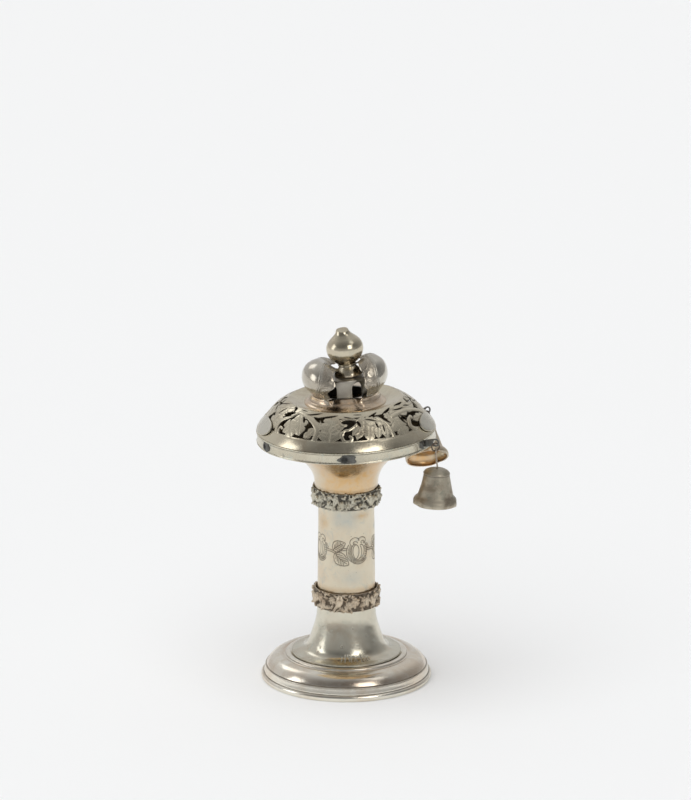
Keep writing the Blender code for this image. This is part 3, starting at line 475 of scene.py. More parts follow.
# strokes: separate short chisel cuts side by side, (azimuth, height along the sheet) from and to, width, depth; no letters
STROKES = []
for azimuth, low, high, lean, deep in ((-6.5, 0.9, 4.3, 0.7, 0.8), (-1.5, 0.3, 5.6, 0.3, 1.0), (4.3, 1.4, 3.8, -0.4, 0.7), (6.6, 0.9, 4.6, 0.6, 0.8), (13.9, 0.8, 4.4, -0.3, 0.8), (20.0, 0.2, 5.8, 0.5, 1.0),
                                       (26.2, 1.0, 4.2, -0.4, 0.8), (29.5, 1.6, 3.6, 0.5, 0.7), (1.4, 4.4, 5.6, 0.9, 0.5), (10.4, 1.2, 2.3, 0.8, 0.5), (17.0, 3.6, 4.8, -0.7, 0.5), (23.2, 0.9, 2.0, 0.6, 0.5)):
    STROKES.append((azimuth, low, azimuth + lean, high, deep))
PITS = ((-6.6, 22.1, 0.5), (-44.0, 19.9, 0.45), (-45.5, 17.9, 0.4), (38.0, 27.0, 0.35), (12.0, 31.0, 0.3))


def neck_cuts(t, r, z):
    """How far into a stroke, and into a pit, each point of the neck lies."""
    az = np.degrees(np.where(t > math.pi, t - TAU, t))
    up = np.interp(r, outside_r[::-1], outside_arc[::-1])
    x = az * 0.363
    groove = np.zeros(t.shape)
    for a0, u0, a1, u1, deep in STROKES:
        x0, dx, dy = a0 * 0.363, (a1 - a0) * 0.363, u1 - u0
        s = np.clip(((x - x0) * dx + (up - u0) * dy) / (dx * dx + dy * dy), 0, 1)
        d = np.hypot(x - x0 - s * dx, up - u0 - s * dy)
        groove = np.maximum(groove, deep * np.exp(-(d / 0.2) ** 2))
    pits = np.zeros(t.shape)
    for a, level, size in PITS:
        pits = np.maximum(pits, np.exp(-(((az - a) * 0.32) ** 2 + (z - level) ** 2) / size ** 2))
    return groove, pits


def neck_shift(t, r, z):
    outside = (np.abs(r - np.interp(z, outside_z, outside_r)) < 0.35) | (np.abs(z - np.interp(r, outside_r[::-1], outside_z[::-1])) < 0.3)
    groove, pits = neck_cuts(t, r, z)
    depth = (0.17 * groove + 0.14 * pits) * outside
    flat = np.clip((19.5 - z) / 3.5, 0, 1)
    return r - depth * (1 - flat) + wobble(t, z, 0.06, 11) * np.clip((z - 16.0) / 2.0, 0, 1), z - depth * flat + wobble(t, r, 0.02, 12, tall=0.0) * (z < 15.2)


def neck_marks(t, r, z):
    groove, pits = neck_cuts(t, r, z)
    seam = 0.30 * np.exp(-((r - 29.0) / 0.12) ** 2)
    return {"dirt_and_painted_dark": np.clip(groove * 0.95 + pits + seam, 0, 1)}


fine_columns = np.radians(np.arange(-10.0, 33.0, 0.36))
coarse_columns = np.radians(np.arange(33.0, 349.0, 2.1))
lathe("neck_piece", neck_profile, 0, ROOT, neck_metal, "lower_neck", shift=neck_shift, columns=np.concatenate([fine_columns, coarse_columns]), attribute=neck_marks)

# ---------------------------------------------------------------------------------------- stem, engraved
TILE = 90.0                                                       # one rose, two leaves and a stem, four times round
STEM_MM = 15.1 * math.pi / 180.0


def leaf_outline(base, tip, width, teeth, side_bend=0.0, count=26):
    """A closed serrated leaf outline, with its midrib and veins as further strokes."""
    base, tip = np.array(base, float), np.array(tip, float)
    along = tip - base
    length = np.linalg.norm(along)
    along /= length
    across = np.array([-along[1], along[0]])
    left, right = [], []
    for i in range(count + 1):
        s = i / count
        half = width / 2 * math.sin(math.pi * min(1.0, s ** 0.8)) ** 0.75 * (1.0 + 0.13 * (((s * teeth) % 1.0) - 0.5))
        mid = base + along * length * s + across * side_bend * 4 * s * (1 - s)
        left.append(mid + across * half)
        right.append(mid - across * half)
    strokes = [left + right[::-1] + [left[0]]]
    strokes.append([base + along * length * s + across * side_bend * 4 * s * (1 - s) for s in np.linspace(0, 0.9, 8)])
    for i in range(1, teeth):
        s = i / teeth * 0.8
        mid = base + along * length * s + across * side_bend * 4 * s * (1 - s)
        reach = width * 0.36 * math.sin(math.pi * min(0.95, s + 0.12)) ** 0.7
        for sign in (1, -1):
            strokes.append([mid, mid + along * reach * 0.75 + across * sign * reach])
    return strokes


def oval(cx, cy, rx, ry, start=0.0, end=360.0, turn=0.0, count=20, point=0.0):
    out = []
    for i in range(count + 1):
        a = math.radians(start + (end - start) * i / count)
        x, y = rx * math.cos(a), ry * math.sin(a) * (1 + point * (math.sin(a) < -0.6) * (-math.sin(a) - 0.6))
        c, s = math.cos(math.radians(turn)), math.sin(math.radians(turn))
        out.append((cx + x * c - y * s, cy + x * s + y * c))
    return out


rose = []
rose.append(oval(-1.0, -0.1, 1.75, 3.5, point=0.5))                     # heart of the rose
rose.append(oval(-0.6, -0.3, 3.0, 4.6, 100, 395, 6))
rose.append(oval(1.7, -0.4, 2.2, 3.7, -100, 105, -6))
rose.append(oval(2.8, -0.7, 3.0, 5.2, -95, 88, -4))
rose.append(oval(-1.3, -0.6, 4.9, 5.9, 128, 262, 8))                    # outer petals
rose.append(oval(0.8, -4.2, 4.6, 3.0, 178, 350, 3))
rose.append(oval(-1.7, 5.0, 2.7, 2.3, 5, 205, 12))
rose.append(oval(2.6, 5.4, 2.3, 2.0, -30, 185, -12))
rose.append(oval(-1.4, 4.4, 1.2, 0.9, 0, 300, 0, 10))
rose.append(oval(3.0, 4.6, 1.1, 0.8, -60, 230, 0, 10))
for a in np.linspace(135, 255, 15):                                      # shading cuts
    c, s = math.cos(math.radians(a)), math.sin(math.radians(a))
    rose.append([(-0.8 + 3.1 * c, -0.4 + 4.6 * s), (-1.1 + 4.3 * c, -0.6 + 5.4 * s)])
for a in np.linspace(215, 330, 12):
    c, s = math.cos(math.radians(a)), math.sin(math.radians(a))
    rose.append([(0.4 + 3.0 * c, -3.2 + 2.0 * s), (0.8 + 4.0 * c, -4.0 + 2.7 * s)])
for a in np.linspace(-60, 40, 9):
    c, s = math.cos(math.radians(a)), math.sin(math.radians(a))
    rose.append([(2.3 + 2.2 * c, -0.6 + 4.2 * s), (2.6 + 3.0 * c, -0.6 + 5.0 * s)])
tile = list(rose)
tile += leaf_outline((-13.6, 0.4), (-6.9, 4.6), 6.0, 6, 0.6)
tile += leaf_outline((-12.6, -1.2), (-5.0, -7.4), 6.6, 7, -0.5)
tile += [[(-17.6, 0.6), (-14.5, 0.4), (-11.5, -0.6), (-8.2, 1.6), (-5.6, 1.8)], [(-17.6, -0.4), (-14.5, -0.6), (-12.0, -1.6), (-9.4, 0.2), (-5.8, 0.9)]]
tile += [[(5.6, 2.6), (6.3, 2.2), (7.2, 1.6)], [(5.5, 1.4), (6.4, 1.0), (7.2, 0.7)], [(5.3, 3.6), (5.9, 3.2), (6.5, 2.9)]]
segments = []
for stroke in tile:
    for a, b in zip(stroke, stroke[1:]):
        segments.append((a[0], a[1], b[0], b[1]))
segments = np.array(segments)

tile_columns = 140
stem_columns = tile_columns * 4
stem_rows = np.concatenate([np.linspace(100.9, 84.0, 9), np.arange(83.2, 63.6, -0.165), np.linspace(62.6, 45.3, 9)])
xs = (np.arange(tile_columns) / tile_columns - 0.5) * TILE * STEM_MM - 4.6
band = (stem_rows < 83.3) & (stem_rows > 63.5)
X, Y = np.meshgrid(xs, stem_rows[band] - 73.5, indexing="ij")
near = np.full(X.shape, 9.0)
period = TILE * STEM_MM
for shift_x in (-period, 0.0, period):
    for x0, y0, x1, y1 in segments:
        x0s, x1s = x0 + shift_x, x1 + shift_x
        if max(x0s, x1s) < xs[0] - 1 or min(x0s, x1s) > xs[-1] + 1:
            continue
        lo, hi = np.searchsorted(xs, min(x0s, x1s) - 0.7), np.searchsorted(xs, max(x0s, x1s) + 0.7)
        if hi <= lo:
            continue
        sx, sy = X[lo:hi], Y[lo:hi]
        dx, dy = x1s - x0s, y1 - y0
        s = np.clip(((sx - x0s) * dx + (sy - y0) * dy) / (dx * dx + dy * dy + 1e-9), 0, 1)
        near[lo:hi] = np.minimum(near[lo:hi], np.hypot(sx - x0s - s * dx, sy - y0 - s * dy))
groove = np.zeros((stem_columns, len(stem_rows)))
tile_groove = np.zeros((tile_columns, len(stem_rows)))
tile_groove[:, band] = np.exp(-(near / 0.19) ** 2)
first = (24.0 * STEM_MM - 4.6 + 0.0 - period / 2.0) / period * tile_columns
for repeat in range(4):
    start = int(round(first)) + repeat * tile_columns
    groove[(start + np.arange(tile_columns)) % stem_columns] = tile_groove
stem_t = np.linspace(0, TAU, stem_columns, endpoint=False)
T, Z = np.meshgrid(stem_t, stem_rows, indexing="ij")
R = 15.3 - 0.6 * (Z - 45.2) / 55.7 + wobble(T, Z, 0.05, 21, tall=0.05)
R_out = R - 0.20 * groove
outer = np.stack([R_out * np.sin(T), -R_out * np.cos(T), Z], -1)
stem_az = np.degrees(np.where(T > math.pi, T - TAU, T))
uneven = wobble(T, Z, 1.0, 22, tall=0.5)
brown = np.exp(-((stem_az - 30.0) / 20.0) ** 4 - ((Z - 92.3 - 0.4 * uneven) / 1.5) ** 2) + 0.8 * np.exp(-((stem_az + 55.0) / 14.0) ** 2 - ((Z - 88.0) / 3.0) ** 2) + 0.7 * np.exp(-((Z - 98.9) / 1.0) ** 2) + 0.6 * np.exp(-((Z - 51.8) / 0.9) ** 2)
blue = np.exp(-((stem_az + 1.0 + 3.0 * uneven) / 27.0) ** 4 - ((Z - 91.5 - uneven) / 5.2) ** 4) + 0.8 * np.exp(-((stem_az - 12.0) / 20.0) ** 2 - ((Z - 58.5 - uneven) / 4.0) ** 2) + 0.6 * np.exp(-((stem_az + 150.0) / 30.0) ** 2 - ((Z - 80.0) / 9.0) ** 2)
inside_rows = np.array([100.9, 86.0, 60.0, 45.3])                  # down the bore
T_in, Z_in = np.meshgrid(stem_t, inside_rows, indexing="ij")
R_in = 14.35 - 0.6 * (Z_in - 45.2) / 55.7
bore = np.stack([R_in * np.sin(T_in), -R_in * np.cos(T_in), Z_in], -1)
stem_grid = np.concatenate([outer[:, ::-1], bore], axis=1)
n, k = stem_grid.shape[:2]
i, j = np.arange(n)[:, None], np.arange(k)[None, :]
quads = np.stack([i * k + j, ((i + 1) % n) * k + j, ((i + 1) % n) * k + (j + 1) % k, i * k + (j + 1) % k], -1).reshape(-1, 4)
stains = {"dirt_and_painted_dark": np.clip(groove, 0, 1), "gilt": np.clip(brown, 0, 1), "film": np.clip(blue, 0, 1)}
stains = {key: np.concatenate([value[:, ::-1], np.zeros((n, 4))], axis=1).reshape(-1) for key, value in stains.items()}
make("stem_piece", stem_grid.reshape(-1, 3), [quads], ROOT, stem_metal, "stem", 60.0, stains)

# ---------------------------------------------------------------------------------------- upper flare
FLARE_LINE = [(15.75, 101.25), (16.5, 103.2), (16.75, 106.0), (16.95, 109.0), (17.3, 111.2), (18.0, 113.2), (19.1, 115.4), (20.7, 117.8), (22.9, 120.3), (25.9, 123.2), (29.8, 126.7), (34.4, 129.9)]
flare_outer = [tuple(q) for q in curve_through(FLARE_LINE, 4)][::-1]
flare_inner = [(r - 0.75, z + 0.3) for r, z in flare_outer][::-1]
flare_inner[0] = (flare_inner[0][0], 101.3)
flare_profile = flare_outer + flare_inner


def flare_shift(t, r, z):
    share = np.clip((z - 103.0) / 27.1, 0, None)
    return r + wobble(t, z, 0.06, 31) * share, z + math.tan(math.radians(1.4)) * r * np.sin(t) * share


def flare_gilt_and_painted_reflections(t, r, z):
    az = np.degrees(np.where(t > math.pi, t - TAU, t))
    # a thin gilt all round and more at the back; the stronger gold across the front is a painted reflection of the gilt
    # canopy floor. The dark patch high on the front is a painted dark reflection; the thin ring low down is dirt
    gilt_and_painted_reflection = 0.22 + 0.80 * np.exp(-((az - 8.0) / 52.0) ** 4) + 0.45 * np.exp(-((np.abs(az) - 180.0) / 60.0) ** 2)
    stain_and_painted_reflection = 0.3 * np.exp(-((z - 106.3) / 0.9) ** 2) + 0.42 * np.exp(-((z - 124.5) / 3.4) ** 2 - ((az - 4.0) / 30.0) ** 2)
    return {"gilt": np.clip(gilt_and_painted_reflection * np.clip((z - 101.0) / 5.0, 0.3, 1), 0, 1), "dirt_and_painted_dark": np.clip(stain_and_painted_reflection, 0, 1)}


lathe("flare_piece", flare_profile, 184, ROOT, flare_metal, "upper_flare", shift=flare_shift, attribute=flare_gilt_and_painted_reflections)

# ---------------------------------------------------------------------------------------- canopy: floor, rim band
# the floor's top face, shut inside the dome, is painted near black: painted shade
lathe("floor_piece", dense([(0.0, 132.2), (46.0, 132.2), (46.0, 131.4), (0.0, 131.4)], 3.0), 160, CANOPY, floor_metal, "canopy_floor", closed=False, sharp=30.0,
      attribute=lambda t, r, z: {"dirt_and_painted_dark": 0.97 * (z > 131.8)})

rim_outline = [(46.3, 137.1), (46.95, 137.15, 0.1), (47.3, 136.95, 0.2), (47.35, 136.55, 0.2), (47.0, 136.2, 0.15), (46.85, 135.8, 0.3), (46.8, 134.0, 2.0), (46.95, 131.9, 0.4),
               (47.25, 131.6, 0.2), (47.3, 131.2, 0.2), (46.95, 131.0, 0.1), (46.3, 131.05), (46.3, 137.1)]


def rim_shift(t, r, z):
    az = np.degrees(np.where(t > math.pi, t - TAU, t))
    nicks = sum(np.exp(-(((az - a) * 0.82 / 0.5) ** 2) - ((z - 132.6) / 1.1) ** 2) for a in (-44.5, -39.5, 21.0, 33.0, 150.0, 213.0))
    return r + wobble(t, z, 0.09, 41, tall=0.02) - 0.25 * nicks, z + wobble(t, r, 0.06, 42, tall=0.0)


def rim_dirt(t, r, z):
    az = np.degrees(np.where(t > math.pi, t - TAU, t))
    stain_and_painted_reflection = sum(np.exp(-(((az - a) / 7.0) ** 2)) for a in (-64.0, 3.0, 60.0, 127.0, -125.0, 173.0))
    nicks = sum(np.exp(-(((az - a) * 0.82 / 0.35) ** 2) - ((z - 132.6) / 0.9) ** 2) for a in (-44.5, -39.5))
    edge = np.exp(-((z - 136.1) / 0.2) ** 2) * 0.7
    return {"dirt_and_painted_dark": np.clip(0.25 * stain_and_painted_reflection * (np.abs(z - 134) < 2.4) + nicks * 0.7 + edge * (r > 46.6), 0, 1)}


lathe("rim_piece", dense(fillet(rim_outline, 0.15), 0.9), 260, CANOPY, rim_metal, "rim_band", shift=rim_shift, attribute=rim_dirt)

# ---------------------------------------------------------------------------------------- the pierced dome
# the openwork is drawn on the dome unrolled to REF mm radius: u runs round, v up from the lower border, so that shapes keep their form
REF = 40.0
ROUND = TAU * REF
ZONE_TOP = 19.97
LEAVES = (        # foot u, v; tip u, v; width; bend; lobes
    (-30.8, 14.8, -24.6, 1.7, 10.4, 0.4, 3), (-35.2, 9.9, -28.8, -0.1, 9.4, -0.1, 3), (-17.4, 6.8, -21.8, 0.9, 5.0, 0.6, 2),
    (-8.1, -0.6, -8.8, 16.3, 15.4, -0.6, 3), (-8.4, 5.2, -1.4, 10.5, 5.4, -0.1, 2), (-48.4, 0.6, -44.0, 14.4, 12.6, 0.9, 3),
    (-59.0, 10.2, -37.6, 18.5, 10.4, 0.6, 3), (-59.5, 2.2, -66.3, 12.4, 12.4, -2.0, 3), (10.9, 11.6, 5.4, 1.0, 5.6, -0.1, 2),
    (15.5, 12.6, 11.6, -0.7, 7.8, -0.5, 3), (19.1, 12.0, 16.2, 0.3, 5.4, 0.0, 2), (22.5, 9.0, 20.8, -0.2, 5.8, 0.2, 2),
    (10.4, 10.2, 3.3, 3.2, 4.6, -0.1, 2), (6.4, 12.6, 27.0, 7.0, 7.4, 1.3, 4), (29.2, 12.6, 32.0, -1.4, 12.6, 0.3, 3),
    (29.2, 13.0, 58.6, 12.2, 9.0, 1.3, 4), (56.6, 3.4, 43.0, 5.0, 5.2, -0.3, 3), (-24.0, 13.6, -13.5, 9.4, 4.6, 0.4, 2),
    (27.0, 10.4, 27.4, 16.0, 5.0, 0.0, 2))
STEMS = (         # width; points u, v
    (2.1, (-32.2, 16.2), (-34.1, 14.2), (-37.3, 10.9), (-41.5, 7.4), (-42.2, 3.8), (-41.0, 1.2), (-38.7, -0.7)),
    (1.2, (-38.6, 0.4), (-39.5, 2.6), (-38.9, 3.6), (-37.2, 3.2)),
    (2.7, (-32.2, 16.2), (-27.1, 15.1), (-22.0, 12.7), (-17.5, 9.0), (-15.1, 4.8), (-15.9, -0.8)),
    (1.4, (5.9, 9.2), (3.9, 7.7), (1.9, 6.5), (-0.3, 6.1), (-1.7, 4.4), (-1.7, 2.1), (-0.4, 0.2), (2.1, 0.2), (3.2, 1.7), (2.2, 2.8)),
    (1.5, (5.9, 9.2), (7.1, 11.2), (5.8, 13.3), (1.9, 14.1), (-2.1, 13.1), (-3.2, 10.8), (-1.6, 9.1), (0.3, 9.5)),
    (2.0, (19.1, 12.8), (22.7, 10.0), (24.5, 5.8), (24.8, -1.0)),
    (2.6, (29.9, 11.4), (36.4, 12.6), (43.0, 12.2), (49.9, 10.3), (56.7, 6.7), (59.0, 2.9), (54.4, 0.4), (47.3, -0.8), (41.3, -0.2), (38.0, 2.2), (39.4, 5.7), (43.0, 7.0)))
GAPS = (          # end u, v; end u, v; width; bend
    (-62.8, 12.6, -49.7, 19.4, 0.9, 0.0), (-56.1, 9.3, -62.3, 12.6, 1.2, 0.0), (-43.8, 11.3, -36.9, 11.9, 2.2, -0.3), (-37.2, 14.2, -41.6, 19.4, 2.2, -1.3),
    (-34.1, 19.0, -27.1, 18.4, 0.9, -0.1), (-26.4, 15.4, -15.6, 18.9, 1.7, -0.3), (-17.1, 14.4, -4.6, 17.4, 1.9, -0.4), (-1.5, 16.2, 4.5, 14.6, 1.1, -0.2),
    (4.9, 17.6, 11.1, 17.0, 0.9, 0.0), (14.4, 14.2, 21.9, 17.6, 1.5, -0.2), (24.6, 15.0, 34.4, 18.8, 1.9, -0.3), (39.2, 18.9, 50.4, 18.2, 1.8, -0.2),
    (59.4, 19.0, 54.3, 14.6, 2.0, 0.0), (60.0, 13.5, 59.4, 8.5, 2.4, 0.0), (33.4, 16.0, 44.9, 14.6, 1.2, -0.4), (7.0, 12.4, 8.3, 7.8, 1.9, 0.0),
    (11.5, 13.0, 18.8, 10.4, 1.1, 0.4), (22.2, 12.4, 27.0, 7.6, 1.5, -0.2), (17.4, 10.5, 18.1, 6.0, 1.1, 0.0), (21.3, 7.9, 20.6, 3.0, 0.9, 0.0),
    (-2.9, 11.6, 2.4, 11.6, 1.3, 0.4), (-1.4, 7.8, 2.2, 8.3, 0.8, -0.1), (58.6, 3.4, 55.2, 1.0, 2.6, 0.0), (-59.0, 2.9, -48.1, 1.8, 1.2, 0.0),
    (41.6, 6.6, 40.4, 1.8, 2.2, 0.6), (44.1, 1.5, 52.7, 2.6, 1.9, -0.3), (-20.5, 14.6, -15.0, 10.6, 2.0, 0.5), (-27.6, 13.6, -24.6, 9.0, 1.6, 0.3),
    (-33.6, 13.2, -34.6, 8.4, 1.5, -0.3), (34.6, 11.2, 36.4, 4.4, 1.8, -0.6), (46.0, 15.6, 52.0, 13.0, 1.2, 0.3), (-49.6, 9.2, -46.6, 15.8, 1.2, 0.3), (-55.6, 3.4, -53.0, 9.6, 1.5, 0.5))


def around(u, u0):
    return (u - u0 + ROUND / 2) % ROUND - ROUND / 2


def leaf_at(u, v, u0, v0, u1, v1, width, bend, lobes):
    """Distance inside a lobed leaf, and its chased relief."""
    dx, dy = float(around(u1, u0)), v1 - v0
    length = math.hypot(dx, dy)
    x, y = around(u, u0), v - v0
    t = (x * dx + y * dy) / length ** 2
    d = (-x * dy + y * dx) / length - 4 * bend * t * (1 - t)
    a = np.abs(d)
    tc = np.clip(t, 0, 1)
    swept = np.clip(t - 0.30 * a / length, 0, 1)
    lobe = np.abs(np.sin(np.pi * (lobes * swept + 0.15)))
    teeth = 0.05 * np.abs(np.sin(np.pi * (lobes * 3.0 * swept + 0.3)))
    half = 1.04 * width / 2 * np.sin(np.pi * tc ** 0.85) ** 0.62 * (0.54 + 0.43 * lobe ** 0.7 + teeth)
    inside = np.where((t < 0) | (t > 1), -np.maximum(-t, t - 1) * length - a, half - a)
    share = np.clip(a / np.maximum(half, 0.05), 0, 1)
    relief = 0.12 * (1 - share ** 2) * np.clip(half / 2.0, 0, 1)
    mid_groove = np.exp(-(d / 0.38) ** 2)
    vein = np.exp(-((lobe - 0.0) / 0.22) ** 2) * np.clip(share * 1.6 - 0.2, 0, 1)
    rays = 0.5 + 0.5 * np.cos(TAU * (lobes * 2.5 * (t - 0.55 * a / length)))
    cut = np.clip(0.9 * mid_groove + 0.6 * vein + 0.22 * rays * np.clip((0.9 - share) / 0.3, 0, 1) * np.clip(share / 0.3, 0, 1), 0, 1)
    return inside, relief - 0.13 * cut, 0.8 * cut


def line_at(u, v, points):
    best = np.full(u.shape, 1e9)
    smooth = curve_through(points, 5)
    for a, b in zip(smooth, smooth[1:]):
        dx, dy = b[0] - a[0], b[1] - a[1]
        x, y = around(u, a[0]), v - a[1]
        s = np.clip((x * dx + y * dy) / (dx * dx + dy * dy + 1e-9), 0, 1)
        best = np.minimum(best, np.hypot(x - s * dx, y - s * dy))
    return best


def gap_at(u, v, u0, v0, u1, v1, width, bend):
    dx, dy = float(around(u1, u0)), v1 - v0
    length = math.hypot(dx, dy)
    x, y = around(u, u0), v - v0
    t = (x * dx + y * dy) / length ** 2
    d = (-x * dy + y * dx) / length - 4 * bend * t * (1 - t)
    half = width / 2 * np.sin(np.pi * np.clip(t, 0, 1)) ** 0.7
    return np.where((t <= 0) | (t >= 1), -1.0, half - np.abs(d))


def turned_copy(items, kind, mirror, move):
    """The same foliage further round the dome, mirrored or not."""
    m = -1.0 if mirror else 1.0
    out = []
    for it in items:
        if kind == "stem":
            out.append((it[0],) + tuple((m * q[0] + move, q[1]) for q in it[1:]))
        else:
            out.append((m * it[0] + move, it[1], m * it[2] + move, it[3], it[4], m * it[5]) + tuple(it[6:]))
    return out


HALF = ROUND / 2
leaves, stems, gaps = list(LEAVES), list(STEMS), list(GAPS)
leaves += turned_copy(LEAVES, "leaf", False, HALF)
stems += turned_copy(STEMS, "stem", False, HALF)
gaps += turned_copy(GAPS, "gap", False, HALF)
for centre in (HALF / 2 - 2.4, -HALF / 2 - 2.4):        # a closing sprig on each side, half under the lappet
    leaves += [(centre, -0.5, centre + 1.0, 12.0, 8.6, 0.0, 3), (centre - 3.0, 12.0, centre + 4.0, 18.5, 5.0, 0.4, 2)]
    gaps += [(centre - 3.6, 15.4, centre + 1.4, 13.2, 1.4, 0.3), (centre + 2.2, 17.6, centre + 5.8, 14.4, 1.3, 0.2)]

DOME_LINE = [(0.0, 151.6), (20.0, 151.62), (22.5, 151.9), (25.5, 152.7), (27.6, 153.45), (28.8, 153.9), (29.7, 153.92), (31.4, 153.15), (33.4, 152.1), (35.0, 151.05), (36.2, 150.1), (37.5, 149.05),
             (38.6, 148.0), (39.6, 147.0), (40.55, 146.0), (42.1, 144.2), (43.5, 142.35), (44.9, 140.6), (46.2, 138.9), (46.9, 137.9)]
zone = [q for q in DOME_LINE if 29.6 < q[0] < 43.6][::-1]
zr, zz = np.array([q[0] for q in zone]), np.array([q[1] for q in zone])
arc = np.concatenate([[0], np.cumsum(np.hypot(np.diff(zr), np.diff(zz)))])
arc_fine = np.linspace(0, arc[-1], 400)
r_fine, z_fine = np.interp(arc_fine, arc, zr), np.interp(arc_fine, arc, zz)
v_fine = np.concatenate([[0], np.cumsum(np.diff(arc_fine) * REF / ((r_fine[1:] + r_fine[:-1]) / 2))])
ZONE_TOP = float(v_fine[-1])
INWARD = ((0.0, 29.6, 153.92), (0.6, 29.15, 153.93), (1.2, 28.5, 153.75), (2.0, 27.6, 153.42), (3.0, 26.2, 152.95), (4.0, 24.8, 152.5), (5.0, 23.2, 152.08),
          (6.0, 21.4, 151.78), (7.0, 19.0, 151.66), (8.0, 12.0, 151.6), (9.0, 5.0, 151.6), (10.0, 0.04, 151.6))     # past the pierced zone, to the middle
rows_v = np.concatenate([[-9.0, -7.0, -5.0, -3.2, -1.6, -0.8], np.arange(-0.3, ZONE_TOP - 0.1, 0.33), ZONE_TOP + np.array([0.0, 0.35, 0.75, 1.2, 1.8, 2.5, 3.3, 4.2, 5.2, 6.5, 8.0, 10.0])])


def dome_rz(v):
    """Radius and height on the dome at height v of the unrolled pattern, below and above the pierced zone as well."""
    r = np.interp(v, v_fine, r_fine)
    z = np.interp(v, v_fine, z_fine)
    low_r, low_z = [47.05, 46.2, 44.9, 43.5], [137.4, 138.9, 140.6, 142.35]
    low = [-9.0, -6.2, -2.6, 0.0]
    r = np.where(v < 0, np.interp(v, low, low_r), r)
    z = np.where(v < 0, np.interp(v, low, low_z), z)
    r = np.where(v > ZONE_TOP, np.interp(v - ZONE_TOP, [q[0] for q in INWARD], [q[1] for q in INWARD]), r)
    z = np.where(v > ZONE_TOP, np.interp(v - ZONE_TOP, [q[0] for q in INWARD], [q[2] for q in INWARD]), z)
    return r, z


dome_columns = 640
u_line = (np.arange(dome_columns) / dome_columns - 0.5) * ROUND
U, V = np.meshgrid(u_line, rows_v, indexing="ij")
F = np.maximum(np.maximum(0.30 - V, V - (ZONE_TOP - 0.35)), V - 15.0 + 1.2 * np.exp(-(around(U, -9.0) / 9.0) ** 2))
relief = np.zeros(F.shape)
cut = np.zeros(F.shape)
for item in leaves:
    reach = max(abs(item[2] - item[0]), item[4]) + item[4]
    pick = np.abs(around(u_line, (item[0] + item[2]) / 2)) < reach
    inside, rel, c = leaf_at(U[pick], V[pick], *item)
    better = inside > np.maximum(F[pick], -0.2)
    relief[pick] = np.where(inside > 0, np.maximum(relief[pick] * (relief[pick] > 0), rel), relief[pick])
    cut[pick] = np.where(inside > 0.1, np.maximum(cut[pick] * 0.5, c), cut[pick])
    outline = np.exp(-((inside + 0.05) / 0.28) ** 2) * (F[pick] > 0.15)          # where a leaf lies over metal its edge is cut in
    cut[pick] = np.maximum(cut[pick], 0.9 * outline)
    relief[pick] = relief[pick] - 0.12 * outline
    F[pick] = np.maximum(F[pick], inside)
for item in stems:
    us = [q[0] for q in item[1:]]
    pick = np.abs(around(u_line, (min(us) + max(us)) / 2)) < (max(us) - min(us)) / 2 + 4
    d = line_at(U[pick], V[pick], item[1:])
    inside = item[0] / 2 - d
    bulge = 0.26 * np.sqrt(np.clip(1 - (d / (item[0] / 2)) ** 2, 0, 1))
    edge = np.exp(-((inside + 0.15) / 0.2) ** 2)
    relief[pick] = np.where(inside > -0.3, np.maximum(bulge, relief[pick] * (1 - edge) - 0.1 * edge), relief[pick])
    cut[pick] = np.where(inside > 0, 0.0, np.maximum(cut[pick], edge * 0.8 * (F[pick] > 0)))
    F[pick] = np.maximum(F[pick], inside)
for item in gaps:
    reach = abs(item[2] - item[0]) / 2 + 4
    pick = np.abs(around(u_line, (item[0] + item[2]) / 2)) < reach
    F[pick] = np.minimum(F[pick], -gap_at(U[pick], V[pick], *item))
edge_dark = np.exp(-np.clip(F, 0, None) / 0.28) * (V > 0.2) * (V < ZONE_TOP - 0.2)
line_low = np.exp(-((V + 0.35) / 0.22) ** 2)
r_dome, z_dome = dome_rz(V)
dr = np.gradient(r_dome, axis=1)
dz = np.gradient(z_dome, axis=1)
length = np.hypot(dr, dz)
nr, nz = dz / length, -dr / length                          # outward normal for rows running up the dome
az = U / REF
soft = np.clip(F / 0.5, 0, 1)
lift = relief * soft * ((V > 0) & (V < ZONE_TOP)) * 0.9 + wobble(az, V, 0.08, 51, tall=0.1) * (V > -8) * np.clip(r_dome / 30.0, 0, 1) - 0.05 * line_low
R_o, Z_o = r_dome + nr * lift, z_dome + nz * lift
R_i, Z_i = r_dome - nr * 0.7, z_dome - nz * 0.7
outer = np.stack([R_o * np.sin(az), -R_o * np.cos(az), Z_o], -1)
inner = np.stack([R_i * np.sin(az), -R_i * np.cos(az), Z_i], -1)
cav_grid = np.clip(0.75 * cut * (V > 0) + 0.35 * edge_dark + 0.3 * line_low, 0, 1)
v_, p_, carried, side = sheet(outer, inner, F, True, {"dirt_and_painted_dark": cav_grid})
# the underside of the pierced sheet is painted near black: painted shade for the shut hollow seen through the openings
dirt_and_painted_dark = carried["dirt_and_painted_dark"] * (1 - side) + 0.97 * side
dome_piece = make("dome_piece", v_, p_, CANOPY, dome_metal, "pierced_dome", 50.0, {"dirt_and_painted_dark": dirt_and_painted_dark})


# ---------------------------------------------------------------------------------------- side lappets
DOME_SIDE = [(36.0, 150.3), (38.0, 148.6), (40.9, 145.7), (43.5, 142.3), (46.9, 137.9)]


def dome_side(s, lengths):
    r = np.interp(s, lengths, [q[0] for q in DOME_SIDE])
    z = np.interp(s, lengths, [q[1] for q in DOME_SIDE])
    k = np.clip(np.searchsorted(lengths, s) - 1, 0, len(DOME_SIDE) - 2)
    dr = np.array([DOME_SIDE[i + 1][0] - DOME_SIDE[i][0] for i in range(len(DOME_SIDE) - 1)])[k]
    dz = np.array([DOME_SIDE[i + 1][1] - DOME_SIDE[i][1] for i in range(len(DOME_SIDE) - 1)])[k]
    n = np.hypot(dr, dz)
    return r, z, -dz / n, dr / n


